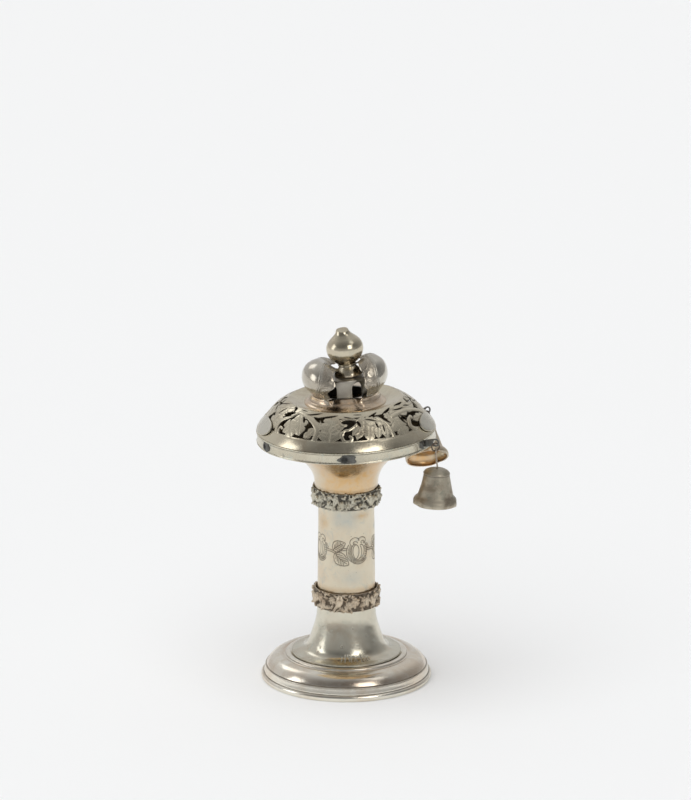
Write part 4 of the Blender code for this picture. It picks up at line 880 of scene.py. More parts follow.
def lappet(name, azimuth, node):
    sign = math.copysign(1.0, azimuth)
    lengths = np.concatenate([[0], np.cumsum([math.hypot(b[0] - a[0], b[1] - a[1]) for a, b in zip(DOME_SIDE, DOME_SIDE[1:])])])
    centre = lengths[-1] - 5.0 - 0.2
    turns, rings = 120, 16
    phi = np.linspace(0, TAU, turns, endpoint=False)
    rho = np.linspace(0.02, 1.0, rings)
    P, Q = np.meshgrid(phi, rho, indexing="ij")
    grow = 1.0 + 0.012 * np.cos(2 * P) + 0.015 * np.sin(3 * P + 1.0) - 0.01
    u, v = np.cos(P) * Q * grow, np.sin(P) * Q * grow
    layers = []
    for thick in (0.42, 1.22):
        r, z, n_out, n_up = dome_side(np.clip(centre - v * 5.0, 0.0, lengths[-1]), lengths)
        lift = thick + 0.12 * np.clip((v + 0.4) / 1.4, 0, None) ** 1.5 + 0.25 * (1.0 - u * u - v * v) + 0.06 * np.sin(5 * u + 2 * v)
        lift = lift - (0.12 * np.clip((Q - 0.93) / 0.07, 0, 1) ** 2 if thick > 1 else 0.0)
        a = np.radians(azimuth + sign * u * 14.0)
        rr, zz = r + n_out * lift, z + n_up * lift
        layers.append(np.stack([rr * np.sin(a), -rr * np.cos(a), zz], -1))
    v_, p_, carried, side = sheet(layers[1], layers[0], np.ones(P.shape), True, {"dirt_and_painted_dark": 0.25 * np.clip((Q - 0.9) / 0.1, 0, 1)})
    middle = np.arange(turns) * rings
    total = turns * rings
    caps = []
    for offset, order in ((0, 1), (total, -1)):
        hub = len(v_) + (0 if offset == 0 else 1)
        ring = middle + offset
        caps.append(np.stack([ring, np.roll(ring, -1), np.full(turns, hub)], -1)[:, ::-order])
    hubs = np.stack([layers[1][:, 0].mean(0), layers[0][:, 0].mean(0)])
    p_ = p_[:-1] + [p_[-1][~(np.isin(p_[-1], middle).sum(1) >= 1) | ~(np.isin(p_[-1], middle + total).sum(1) >= 1)]]
    verts = np.concatenate([v_, hubs])
    dirt_and_painted_dark = np.concatenate([carried["dirt_and_painted_dark"], [0, 0]])
    return make(name, verts, p_ + caps, CANOPY, plate_metal, node, 50.0, {"dirt_and_painted_dark": dirt_and_painted_dark}, flip=sign < 0)


lappet("lappet_left_piece", -77.0, "side_lappet_left")
lappet("lappet_right_piece", 77.0, "side_lappet_right")

# ---------------------------------------------------------------------------------------- garland collars


def flower(x, y, size, petals, turn):
    rho, a = np.hypot(x, y), np.arctan2(y, x) + turn
    petal = np.abs(np.cos(petals * a / 2)) ** 0.7
    outer = size * (0.60 + 0.40 * petal)
    inside = outer - rho
    height = 1.15 * np.sqrt(np.clip(inside / size, 0, 1)) * (0.72 + 0.28 * petal) * (1 - 0.35 * np.exp(-((rho - 0.72 * size) / (0.17 * size)) ** 2))
    heart = 0.36 * size
    grains = 0.5 + 0.5 * np.cos(9 * a) * np.cos(rho / size * 24.0)
    bead = (1.25 + 0.25 * grains) * np.sqrt(np.clip(1 - (rho / heart) ** 2, 0, 1))
    height = np.where(rho < heart, np.maximum(height * 0.4, bead), height * (1 - 0.75 * np.exp(-((rho - heart) / (0.09 * size)) ** 2)))
    return np.where(inside > 0, height, 0.0)


def leaf(x, y, size, wide, turn):
    c, s = math.cos(turn), math.sin(turn)
    t, d = (x * c + y * s) / size, -x * s + y * c
    tc = np.clip(t, 0, 1)
    half = wide / 2 * np.sin(np.pi * tc ** 0.85) ** 0.7 * (0.88 + 0.16 * np.abs(np.sin(9 * np.pi * tc)))
    share = np.abs(d) / np.maximum(half, 0.05)
    height = 1.15 * np.sqrt(np.clip(1 - share ** 2, 0, 1)) * (0.80 + 0.20 * np.cos(TAU * 4.5 * (t - 0.5 * np.abs(d) / size)))
    height = height - 0.40 * np.exp(-(d / 0.16) ** 2)
    return np.where((t > 0) & (t < 1) & (share < 1), np.clip(height, 0.1, None), 0.0)


def bud(x, y, size):
    rho = np.hypot(x, y)
    return 1.65 * np.sqrt(np.clip(1 - (rho / size) ** 2, 0, 1)) * (rho < size)


def curl(x, y, size, turn):
    rho, a = np.hypot(x, y), (np.arctan2(y, x) - turn) % TAU
    band = size * 0.30
    return 1.2 * np.sqrt(np.clip(1 - ((rho - size * 0.68) / band) ** 2, 0, 1)) * (a < 5.0)


def fan(x, y, size, turn):
    c, s = math.cos(turn), math.sin(turn)
    px, py = x * c + y * s, -x * s + y * c
    rho, a = np.hypot(px, py), np.arctan2(py, px)
    ribs = 0.62 + 0.38 * np.abs(np.cos(a * 6.0))
    edge = size * (0.88 + 0.12 * np.abs(np.cos(a * 6.0)))
    return np.where((np.abs(a) < 0.62) & (rho < edge), 1.25 * ribs * np.clip((edge - rho) / (0.25 * size), 0, 1) ** 0.5 * np.clip(rho / (0.3 * size), 0, 1), 0.0)


def garland(name, node, middle, half, outer_r, inner_r, sector, sectors, material, seed):
    turns, steps = 640, 70
    r = np.random.default_rng(seed)
    theta = np.linspace(0, TAU, turns, endpoint=False)
    phi = np.linspace(0, TAU, steps, endpoint=False)
    T, P = np.meshgrid(theta, phi, indexing="ij")
    base_r, base_h = outer_r - 1.65, half - 1.15
    depth = (base_r - inner_r) / 2.0
    mid_r = inner_r + depth
    out = np.cos(P)
    c = np.sign(out) * np.abs(out) ** 0.62
    s_ = np.sign(np.sin(P)) * np.abs(np.sin(P)) ** 0.85
    R = mid_r + depth * np.where(out < 0, c, c)
    Z = middle + base_h * s_
    w = (np.where(out > 0, np.sin(P), np.sign(np.sin(P)))) * (base_h + 0.6)         # across the outer side
    height = np.zeros(T.shape)
    ref = outer_r - 0.6
    arc_mm = TAU * ref / sectors
    placed = []
    for k in range(sectors):
        for kind, az, y, size, extra, turn in sector:
            j = 0.0 if k == 0 else 1.0
            placed.append((kind, (math.radians(az) + TAU * k / sectors) * ref + j * r.normal() * 0.5, y + j * r.normal() * 0.25, size * (1 + j * r.normal() * 0.06), extra, math.radians(turn) + j * r.normal() * 0.2))
    for kind, x0, y0, size, extra, turn in placed:
        X = (T * ref - x0 + math.pi * ref) % (TAU * ref) - math.pi * ref
        pick = np.abs(X[:, 0]) < 8.0
        x, y = X[pick], w[pick] - y0
        if kind == "flower":
            h = flower(x, y, size, extra, turn)
        elif kind == "leaf":
            h = leaf(x, y, size, extra, turn)
        elif kind == "bud":
            h = bud(x, y, size)
        elif kind == "curl":
            h = curl(x, y, size, turn)
        else:
            h = fan(x, y, size, turn)
        height[pick] = np.maximum(height[pick], h)
    for _ in range(260):                                            # small leaves and buds between the large ones
        x0, y0, turn = r.uniform(0, TAU * ref), r.uniform(-base_h - 0.5, base_h + 0.5), r.uniform(0, TAU)
        X = (T * ref - x0 + math.pi * ref) % (TAU * ref) - math.pi * ref
        pick = np.abs(X[:, 0]) < 4.5
        x, y = X[pick], w[pick] - y0
        h = 0.72 * leaf(x, y, r.uniform(2.0, 3.4), r.uniform(1.1, 1.8), turn) if r.random() < 0.75 else 0.5 * bud(x, y, r.uniform(0.5, 0.9))
        height[pick] = np.maximum(height[pick], h)
    ground = 0.12 * (np.sin(T * 61 + 2.0 * w) * np.sin(w * 3.1 + T * 17.0))
    facing = np.clip(out * 2.2, 0, 1) ** 0.5
    lift = (height + np.where(height <= 0, ground - 0.15, 0.0)) * facing + wobble(T, w, 0.10, seed + 5, tall=0.2) * facing
    nr, nz = np.clip(out, 0, 1) ** 0.7, np.sin(P) * 0.75
    n = np.hypot(nr, nz) + 1e-6
    R2, Z2 = R + lift * nr / n, Z + lift * nz / n
    R2 = np.maximum(R2, inner_r)
    # dirt in the low ground between the ornaments; the half that looks in towards the stem is also darkened, as painted
    # shade
    dirt_and_painted_dark = np.clip(1.0 - height / 0.62, 0, 1) ** 1.2 * np.clip(out * 3, 0, 1) + 0.35 * (out <= 0)
    verts = np.stack([R2 * np.sin(T), -R2 * np.cos(T), Z2], -1).reshape(-1, 3)
    i, j = np.arange(turns)[:, None], np.arange(steps)[None, :]
    quads = np.stack([i * steps + j, ((i + 1) % turns) * steps + j, ((i + 1) % turns) * steps + (j + 1) % steps, i * steps + (j + 1) % steps], -1).reshape(-1, 4)
    return make(name, verts, [quads], ROOT, material, node, 75.0, {"dirt_and_painted_dark": np.clip(dirt_and_painted_dark, 0, 1).reshape(-1)})


UPPER = (("flower", 2.5, -1.6, 2.7, 8, 20), ("leaf", -4.0, 0.2, 4.6, 2.7, 215), ("leaf", -6.0, -0.6, 3.6, 2.0, 265), ("flower", 13.5, 0.2, 2.0, 5, 40), ("bud", 24.5, -1.6, 1.0, 0, 0),
         ("curl", 31.5, 1.8, 1.6, 0, 60), ("fan", 45.0, -3.6, 7.0, 0, 88), ("bud", 52.0, -3.2, 0.9, 0, 0), ("leaf", 12.0, -2.6, 4.4, 2.2, -12), ("curl", 8.0, 3.4, 1.4, 0, 120),
         ("leaf", -16.0, 3.4, 6.4, 3.0, 250), ("bud", -13.5, -2.0, 0.7, 0, 0), ("bud", -10.0, -3.4, 0.6, 0, 0), ("leaf", -18.0, 1.0, 4.0, 2.0, 160), ("flower", -31.0, 2.6, 1.9, 6, 10),
         ("bud", -31.5, -0.6, 0.9, 0, 0), ("leaf", -26.0, -1.6, 4.8, 2.2, 200), ("leaf", -36.0, -3.2, 4.4, 2.0, 20), ("flower", -49.0, 0.6, 2.5, 7, 30), ("bud", 60.0, 0.2, 1.2, 0, 0),
         ("leaf", 38.0, -3.0, 4.0, 2.2, 150), ("bud", -2.0, 3.2, 0.8, 0, 0), ("leaf", 20.0, 3.6, 4.6, 2.0, 200), ("curl", -22.0, -3.6, 1.2, 0, 0), ("bud", 33.0, -4.2, 0.8, 0, 0), ("bud", -42.0, 3.6, 0.8, 0, 0))
LOWER = (("flower", 4.0, -1.6, 2.7, 6, 0), ("leaf", -11.0, 4.6, 6.4, 4.4, 268), ("flower", 15.5, -0.4, 2.1, 5, 15), ("bud", 16.0, 2.6, 1.0, 0, 0), ("bud", 21.0, 1.8, 0.9, 0, 0),
         ("flower", 12.0, 3.4, 1.5, 5, 30), ("leaf", 24.0, -2.0, 4.8, 2.4, 20), ("flower", 33.0, 1.4, 2.2, 6, 40), ("bud", 29.0, -3.6, 0.9, 0, 0), ("leaf", 40.0, -2.8, 5.2, 2.6, 95),
         ("curl", -1.0, 2.2, 1.4, 0, 200), ("flower", -9.0, -3.0, 1.6, 5, 10), ("leaf", -18.0, -2.2, 5.4, 2.8, 58), ("flower", -26.0, 1.4, 2.4, 8, 25), ("bud", -19.5, -2.8, 0.8, 0, 0),
         ("leaf", -28.0, -2.4, 4.8, 2.4, 190), ("curl", -36.0, 3.2, 1.5, 0, 30), ("leaf", -40.0, -1.0, 5.6, 2.8, 230), ("flower", -51.0, 2.0, 2.3, 6, 50), ("bud", -46.0, -3.6, 1.0, 0, 0),
         ("fan", 52.0, -3.6, 6.2, 0, 92), ("bud", 60.0, 2.6, 1.1, 0, 0), ("leaf", -58.0, -3.0, 4.8, 2.2, 10), ("leaf", 4.0, -4.2, 4.0, 1.8, 170), ("bud", 9.0, -4.4, 0.8, 0, 0), ("bud", -32.0, 4.2, 0.8, 0, 0))
garland("upper_collar_piece", "upper_collar", 100.9, 5.7, 19.1, 16.95, UPPER, 3, cast_metal_high, 71)
garland("lower_collar_piece", "lower_collar", 45.2, 6.1, 18.8, 15.9, LOWER, 3, cast_metal_low, 72)

# ---------------------------------------------------------------------------------------- crown ring
ring_outer = dense(fillet([(13.15, 156.45), (15.5, 156.75, 1.0), (17.3, 156.95, 0.3), (17.65, 156.65, 0.2), (17.75, 156.0, 0.5), (18.05, 155.0, 0.9), (18.75, 153.95, 0.9), (19.75, 153.2, 0.6), (20.9, 152.55, 0.5), (21.5, 152.05, 0.15), (21.4, 151.8)], 0.4), 0.5)
ring_inner = [(13.2, 155.85), (17.0, 156.1), (17.15, 155.2), (17.6, 153.9), (18.9, 152.9), (20.2, 152.1), (20.8, 151.8)]


def ring_shift(t, r, z):
    az = np.degrees(np.where(t > math.pi, t - TAU, t))
    dents = sum(d * np.exp(-((az - a) / w) ** 2) for a, w, d in ((-25.0, 9.0, 0.35), (8.0, 7.0, 0.3), (38.0, 8.0, 0.4), (-60.0, 10.0, 0.3), (120.0, 12.0, 0.4), (-140.0, 14.0, 0.35)))
    outside = np.clip((r - 17.3) / 0.6, 0, 1)
    open_front = np.clip((31.0 - np.abs(az)) / 9.0, 0, 1)
    open_front = open_front * open_front * (3 - 2 * open_front)
    under = 0.7 * (np.arange(r.shape[1]) >= len(ring_outer))
    cove = np.interp(r, [13.2, 14.5, 16.0, 17.5, 18.8, 20.4, 21.5], [156.5, 155.55, 154.6, 153.8, 153.1, 152.45, 152.0]) - under
    z = z * (1 - open_front) + np.minimum(z, cove) * open_front
    z = z - 0.0366 * r * np.sin(t) * np.clip((r - 18.5) / 2.0, 0, 1)              # its edge lies on the disc, which leans less
    return r - 0.5 * dents * outside, z - dents * 0.9 * np.clip((z - 154.5) / 1.5, 0, 1) * outside + wobble(t, r, 0.10, 81) * (z > 154.0)


lathe("crown_ring_piece", ring_outer + ring_inner[::-1], 200, CROWN, crown_metal, "crown_ring", shift=ring_shift,
      attribute=lambda t, r, z: {"gilt": np.clip(0.65 + 0.45 * np.cos(t + 0.1), 0, 1) * np.ones(r.shape), "dirt_and_painted_dark": 0.55 * np.exp(-((z - 154.3) / 0.35) ** 2)})

# ---------------------------------------------------------------------------------------- gallery drum with its windows
drum_cols = 240
az_line = (np.arange(drum_cols) / drum_cols - 0.5) * 360.0
outer_line = [(12.5, z) for z in np.arange(152.55, 165.6, 0.34)] + [(12.47, 165.8), (12.3, 165.95), (11.9, 166.0), (9.0, 166.0), (5.0, 166.0), (0.05, 166.0)]
inner_line = [(11.65, z) for z in np.arange(152.55, 165.6, 0.34)]
inner_line = [(11.65, min(z, 165.1)) for _, z in inner_line] + [(11.6, 165.15), (11.4, 165.18), (11.0, 165.2), (8.5, 165.2), (4.6, 165.2), (0.05, 165.2)]
A, _ = np.meshgrid(az_line, np.arange(len(outer_line)), indexing="ij")
Zd = np.broadcast_to(np.array([q[1] for q in outer_line]), A.shape)
Rd = np.broadcast_to(np.array([q[0] for q in outer_line]), A.shape)
Fd = np.full(A.shape, 3.0)
frame_line = np.zeros(A.shape)
for a0 in (34.0, -34.0, 146.0, -146.0):
    x = np.radians((A - a0 + 180) % 360 - 180) * 12.5
    half_w, low, high = 3.3, 156.4, 164.6
    straight = np.minimum(half_w - np.abs(x), Zd - low)
    arch = half_w - np.hypot(x, np.clip(Zd - (high - half_w), 0, None))
    hole = np.where(Zd > high - half_w, arch, straight)
    hole = np.where(Rd < 12.0, -5.0, hole)
    Fd = np.minimum(Fd, -hole)
    frame_line = np.maximum(frame_line, np.exp(-((-hole - 0.45) / 0.35) ** 2))
mould = np.exp(-((Zd - 157.2) / 0.22) ** 2) + np.exp(-((Zd - 165.0) / 0.22) ** 2) + 0.5 * np.exp(-((Zd - 162.9) / 0.15) ** 2)
Ad = np.radians(A)
lift = (0.16 * frame_line + 0.10 * mould) * (Rd > 12.2) + wobble(Ad, Zd, 0.05, 91) * (Rd > 5)
Ro = Rd + lift
outer = np.stack([Ro * np.sin(Ad), -Ro * np.cos(Ad), Zd], -1)
Ri = np.broadcast_to(np.array([q[0] for q in inner_line]), A.shape)
Zi = np.broadcast_to(np.array([q[1] for q in inner_line]), A.shape)
inner = np.stack([Ri * np.sin(Ad), -Ri * np.cos(Ad), Zi], -1)
# the band low on the drum, where it goes down into the crown ring, is darkened: painted shade
v_, p_, carried, side = sheet(outer, inner, Fd, True, {"dirt_and_painted_dark": np.clip(0.25 * np.exp(-((frame_line - 0.35) / 0.25) ** 2) + 0.3 * np.exp(-((Zd - 153.5) / 1.6) ** 2), 0, 1)})
gallery_metal = silver("gallery silver", clean=(0.42, 0.39, 0.335), warm=(0.34, 0.285, 0.225), cool=(0.37, 0.365, 0.32), rough=0.3, spread=0.12, tarnish=0.6, bump=0.2, dark=(0.012, 0.010, 0.008))
# the drum's inside face is painted near black: painted shade seen through the windows
make("drum_piece", v_, p_, CROWN, gallery_metal, "gallery_drum", 45.0, {"dirt_and_painted_dark": np.clip(carried["dirt_and_painted_dark"] * (1 - side) + 0.97 * side, 0, 1)})

# ---------------------------------------------------------------------------------------- crown gores
ARCH = ((18.0, 157.5), (19.3, 159.2), (21.7, 162.6), (22.6, 167.0), (21.5, 171.6), (18.6, 175.0), (14.2, 176.6), (10.6, 175.8), (8.3, 173.9), (7.3, 172.0))
LEFT_ANGLES = (55.0, 56.0, 62.0, 67.0, 69.0, 69.0, 68.0, 66.0, 64.0, 62.0)
RIGHT_ANGLES = (47.0, 48.0, 49.0, 52.0, 52.0, 50.0, 47.0, 43.0, 40.0)


def gore(name, azimuth, sunk, half_angles, node, front):
    """front is +1 where the gore's v = +1 edge looks to the front."""
    per = 12
    rows = len(half_angles)
    table = np.array(curve_through([(r, z, a) for (r, z), a in zip(ARCH[:rows], half_angles)], per))
    k_line = np.arange(len(table)) / per
    n_v = 140
    v_line = np.linspace(-1.0, 1.0, n_v)
    Vg, K = np.meshgrid(v_line, k_line, indexing="ij")
    r = np.broadcast_to(table[:, 0], Vg.shape)
    z = np.broadcast_to(table[:, 1], Vg.shape)
    half = np.broadcast_to(table[:, 2], Vg.shape)
    swell = np.sin(math.pi * K / (rows - 1))
    edge = np.abs(Vg) ** 2.2
    rr = r * (1.0 - 0.18 * edge * swell)
    zz = z - 4.5 * edge * swell * np.clip((K - 1.5) / 2.5, 0, 1) - sunk * np.clip(K / 5.0, 0, 1)
    if azimuth < 0:
        hang = np.clip((Vg * front - 0.70) / 0.30, 0, 1) ** 1.5 * np.clip(1.0 - K / 1.3, 0, 1)
        rr, zz = rr + 0.9 * hang, zz - 3.4 * hang
    a = np.radians(azimuth + Vg * half)
    base = np.stack([rr * np.sin(a) + 0.6, -rr * np.cos(a), zz], -1)
    du = np.gradient(base, axis=0)
    dk = np.gradient(base, axis=1)
    normal = np.cross(du, dk)
    normal /= np.linalg.norm(normal, axis=-1, keepdims=True)
    out = np.stack([np.sin(a), -np.cos(a), np.zeros(a.shape)], -1)
    if (normal * out).sum() < 0:
        normal = -normal
    side_v = Vg * front                                           # +1 at the edge that looks to the front
    width = half * math.pi / 180.0 * rr                             # arc from the middle to the edge, mm
    from_edge = (1.0 - np.abs(Vg)) * width
    along = np.concatenate([[0], np.cumsum(np.hypot(np.diff(table[:, 0]), np.diff(table[:, 1])))])
    S = np.broadcast_to(along, Vg.shape)
    band = 7.6
    border = np.clip((band - from_edge) / 0.5, 0, 1)
    beads = np.exp(-((from_edge - 0.75) / 0.42) ** 2) * (0.45 + 0.55 * np.abs(np.cos(S * math.pi / 1.3)))
    double = np.exp(-((from_edge - band) / 0.28) ** 2) + np.exp(-((from_edge - band - 1.25) / 0.28) ** 2)
    vein_s = (S / along[-1]) * 5.0
    leaf_row = np.floor(vein_s)
    lx = (vein_s - leaf_row - 0.5) * along[-1] / 5.0
    ly = from_edge - 4.2
    spine = ly - 1.6 * np.sin(lx * 0.75 + leaf_row * 2.1)
    leaf_here = np.clip(1.0 - (np.hypot(lx / 2.6, spine / (1.5 + 0.5 * np.cos(lx * 3.4)))) ** 2, 0, 1)
    hatch = 0.5 + 0.5 * np.sin(lx * 5.5 + np.abs(spine) * 4.0)
    rosette_s, rosette_e = along[-1] * 0.23, 4.2
    dx, dy = S - rosette_s, from_edge - rosette_e
    rho, ang = np.hypot(dx, dy), np.arctan2(dy, dx)
    petals = np.clip(1 - (rho / (2.6 * (0.72 + 0.28 * np.abs(np.cos(3 * ang))))) ** 3, 0, 1)
    heart = np.sqrt(np.clip(1 - (rho / 0.8) ** 2, 0, 1))
    near_rosette = np.clip((3.1 - rho) / 0.4, 0, 1)
    chased = near_rosette * (0.16 * petals + 0.30 * heart) + (1 - near_rosette) * np.sqrt(leaf_here) * (0.15 + 0.05 * hatch)
    chased = np.where(from_edge > 1.4, chased, 0.0) * border
    lift = 0.16 * beads + chased + 0.17 * np.clip(double, 0, 1) - 0.04 * border * (from_edge > 1.4)
    lift = lift + 0.10 * np.sin(3.1 * Vg + 2.0 * K) * np.cos(1.3 * K) + 0.06 * np.sin(7 * Vg - K)
    fade = np.clip(from_edge / 0.4, 0, 1) * np.clip(np.minimum(S, along[-1] - S) / 0.5, 0, 1)
    lift = lift * fade
    lobes = 0.5 - 0.5 * np.cos(S * TAU / (along[-1] / 2.3) + (0.6 if azimuth < 0 else 2.2))
    F = from_edge - 0.05 - (1.9 if azimuth < 0 else 1.0) * lobes * np.sqrt(np.clip(np.minimum(S, along[-1] - S) / 6.0, 0, 1))
    torn = 0.35 * np.sin(a * 7.0) ** 2 + 0.25 * np.sin(a * 17.0 + 1.0)
    if azimuth < 0:
        F = np.where(K < 1.2, np.maximum(F, np.minimum(from_edge - 0.05, 0.6 - 1.6 * np.abs(from_edge - 2.6) * np.clip(1.0 - K, 0, 1))), F)
    F = np.minimum(F, (along[-1] - S) - 0.30 - 0.55 * torn)
    outer = base + normal * lift[..., None]
    inner = base - normal * 0.62
    slope = np.hypot(*np.gradient(chased + 0.16 * beads + 0.17 * np.clip(double, 0, 1)))
    dirt = np.clip(border * (1 - np.clip(chased / 0.12, 0, 1)) * (from_edge > 1.2) * 0.30 + 3.5 * slope + 0.25 * np.exp(-((from_edge - band - 0.62) / 0.3) ** 2), 0, 0.75)
    values = {"dirt_and_painted_dark": dirt * fade, "gilt": np.clip(border * 0.95, 0, 1)}
    flip = np.sign((np.cross(du, dk) * normal).sum()) < 0
    v_, p_, carried, side = sheet(outer, inner, F, False, values)
    # the gore's inner face is a little darker: painted shade
    dirt_and_painted_dark = np.clip(carried["dirt_and_painted_dark"] * (1 - side) + 0.12 * side, 0, 1)
    return make(name, v_, p_, CROWN, gore_metal, node, 45.0, {"dirt_and_painted_dark": dirt_and_painted_dark, "gilt": carried["gilt"] * (1 - side)}, flip=flip)


gore_metal = silver("gore silver", clean=(0.62, 0.588, 0.512), warm=(0.40, 0.34, 0.262), cool=(0.44, 0.44, 0.39), rough=0.14, spread=0.12, tarnish=0.6, bump=0.10, gilt=(0.50, 0.44, 0.355), dark=(0.045, 0.036, 0.026))
gore("gore_left_piece", -84.0, 1.3, LEFT_ANGLES, "crown_gore_left", 1)
gore("gore_right_piece", 84.0, 0.0, RIGHT_ANGLES, "crown_gore_right", -1)

# ---------------------------------------------------------------------------------------- knob
knob_line = [(0.05, 25.2), (1.8, 25.18), (2.9, 24.95), (3.3, 24.3), (3.75, 23.3), (4.4, 22.3), (5.8, 21.0), (7.5, 19.5), (8.8, 17.9), (9.55, 16.2), (9.75, 14.4), (9.5, 12.4), (8.4, 10.0), (6.9, 8.1), (5.4, 6.8), (4.55, 6.05)]
knob_outline = [tuple(q) for q in curve_through(knob_line, 5)]
knob_outline += fillet([(4.5, 5.95), (4.85, 5.75), (4.85, 5.35), (4.3, 5.1), (4.75, 4.5, 0.8), (6.1, 2.95, 1.5), (7.15, 1.5, 0.8), (7.4, 0.8, 0.3), (7.4, 0.0), (0.05, 0.0)], 0.2, 3)[1:]
knob_profile = dense(knob_outline, 1.1)


def knob_shift(t, r, h):
    """The top is broken off along a slight slant that faces the front and up."""
    x, y = r * np.sin(t), -r * np.cos(t)
    over = (0.10 * x - 0.22 * y + 0.97 * h) - 23.95
    over = np.clip(over, 0, None) * (h > 20.0)
    x, y, h = x - 0.10 * over, y + 0.22 * over, h - 0.97 * over
    r2 = np.clip(x * np.sin(t) - y * np.cos(t), 0.03, None)
    return r2 + wobble(t, h, 0.06, 101) * (r > 3.0), h


lathe("knob_piece", knob_profile, 112, KNOB, knob_metal, "knob", shift=knob_shift, closed=False, sharp=50.0, attribute=lambda t, r, z: {"dirt_and_painted_dark": 0.5 * np.exp(-((z - 6.0) / 0.2) ** 2) + 0.5 * np.exp(-((z - 5.05) / 0.16) ** 2), "gilt": 0.8 * np.clip(1 - z / 5.0, 0, 1) + 0.5 * np.exp(-((z - 8.0) / 1.6) ** 2)})

# ---------------------------------------------------------------------------------------- bells
bell_outline = [(0.05, 19.3), (1.8, 19.28), (3.6, 19.05), (5.2, 18.55), (6.2, 17.95), (6.75, 17.3), (7.0, 16.75), (6.78, 16.35), (6.9, 15.6), (7.3, 13.4), (7.95, 10.4), (8.6, 7.7), (9.15, 5.6), (9.5, 4.6), (10.4, 3.7), (11.2, 2.7), (11.6, 1.3), (11.55, 0.5), (11.35, 0.0)]


def bell(name, seat, node, material, seed, torn, gilt_inside):
    outer = dense([tuple(q) for q in curve_through(bell_outline, 2)], 0.9)
    inner = [(max(0.05, r - 0.7 if z < 16 else r * 0.88), min(z + 0.15, 18.5) if z < 16 else z - 0.75) for r, z in outer]
    inner[-1] = (outer[-1][0] - 0.75, 0.02)

    def shift(t, r, z):
        az = np.degrees(np.where(t > math.pi, t - TAU, t))
        skirt = np.clip(1 - z / 6.0, 0, 1)
        dr = wobble(t, z, 0.16, seed, tall=0.12) * np.clip(r / 6.0, 0, 1)
        dz = wobble(t, r, 0.10, seed + 1) * skirt
        if torn:
            dr = dr - 1.3 * np.exp(-((az - 88.0) / 9.0) ** 2) * skirt + 0.5 * np.exp(-((az - 72.0) / 8.0) ** 2) * skirt - 0.5 * np.exp(-((az + 62.0) / 13.0) ** 2) * skirt
            dz = dz + 1.5 * np.exp(-((az - 88.0) / 8.0) ** 2) * skirt
        else:
            dr = dr - 1.2 * np.exp(-((az - 150.0) / 16.0) ** 2) * skirt - 0.6 * np.exp(-((az + 30.0) / 18.0) ** 2) * skirt
        return np.clip(r + dr, 0.03, 11.6), np.clip(z + dz, 0.0, None)

    def marks(t, r, z):
        streaks = np.clip(0.5 + 0.5 * wobble(t, z, 1.0, seed + 3, waves=12, tall=0.05), 0, 1) * np.clip((z - 1.0) / 3.0, 0, 1)
        return {"dirt_and_painted_dark": np.clip(0.55 * np.exp(-((z - 16.35) / 0.3) ** 2) + 0.25 * np.exp(-((z - 3.4) / 1.6) ** 2) + 0.35 * streaks, 0, 1), "gilt": np.zeros(r.shape)}

    made = lathe(name, outer + inner[::-1], 120, seat, material, node, shift=shift, closed=False, sharp=50.0, attribute=marks)
    count = len(outer) + len(inner)
    n = len(made.data.vertices)
    column = np.arange(n) % count
    if gilt_inside:
        kept = np.clip((0.42 - np.sin(np.arange(n) // count * TAU / 120.0)) / 0.35, 0.0, 1.0)
        made.data.attributes["gilt"].data.foreach_set("value", np.where(column >= len(outer), 0.08 + 0.87 * kept, 0.15).astype(np.float32))
        made.data.attributes["dirt_and_painted_dark"].data.foreach_set("value", np.where(column >= len(outer), 0.0, 0.1).astype(np.float32))
    else:
        # the front bell's inside is painted dark: painted shade in its mouth
        before = np.zeros(n, np.float32)
        made.data.attributes["dirt_and_painted_dark"].data.foreach_get("value", before)
        made.data.attributes["dirt_and_painted_dark"].data.foreach_set("value", np.where(column >= len(outer), 0.8, before).astype(np.float32))
    return made


FRONT_SEAT = ROOT @ Matrix.Translation((46.4, -27.0, 103.8)) @ Matrix.Rotation(math.radians(3.0), 4, "Y")
REAR_SEAT = ROOT @ Matrix.Translation((42.9, 22.0, 113.4)) @ Matrix.Rotation(math.radians(-10.0), 4, "Y") @ Matrix.Rotation(math.radians(-38.0), 4, "X")
rear_metal = silver("rear bell silver-gilt inside", clean=(0.62, 0.56, 0.44), warm=(0.52, 0.43, 0.30), rough=0.28, spread=0.15, tarnish=0.7, bump=0.4, gilt=(0.74, 0.44, 0.18), dark=(0.03, 0.022, 0.014))
bell("bell_front_piece", FRONT_SEAT, "bell_front", bell_metal, 111, True, False)
bell("bell_rear_piece", REAR_SEAT, "bell_rear", rear_metal, 121, False, True)

# ---------------------------------------------------------------------------------------- lugs, rings, hooks


def place_on(azimuth):
    a = math.radians(azimuth)
    return Vector((math.sin(a), -math.cos(a), 0.0))


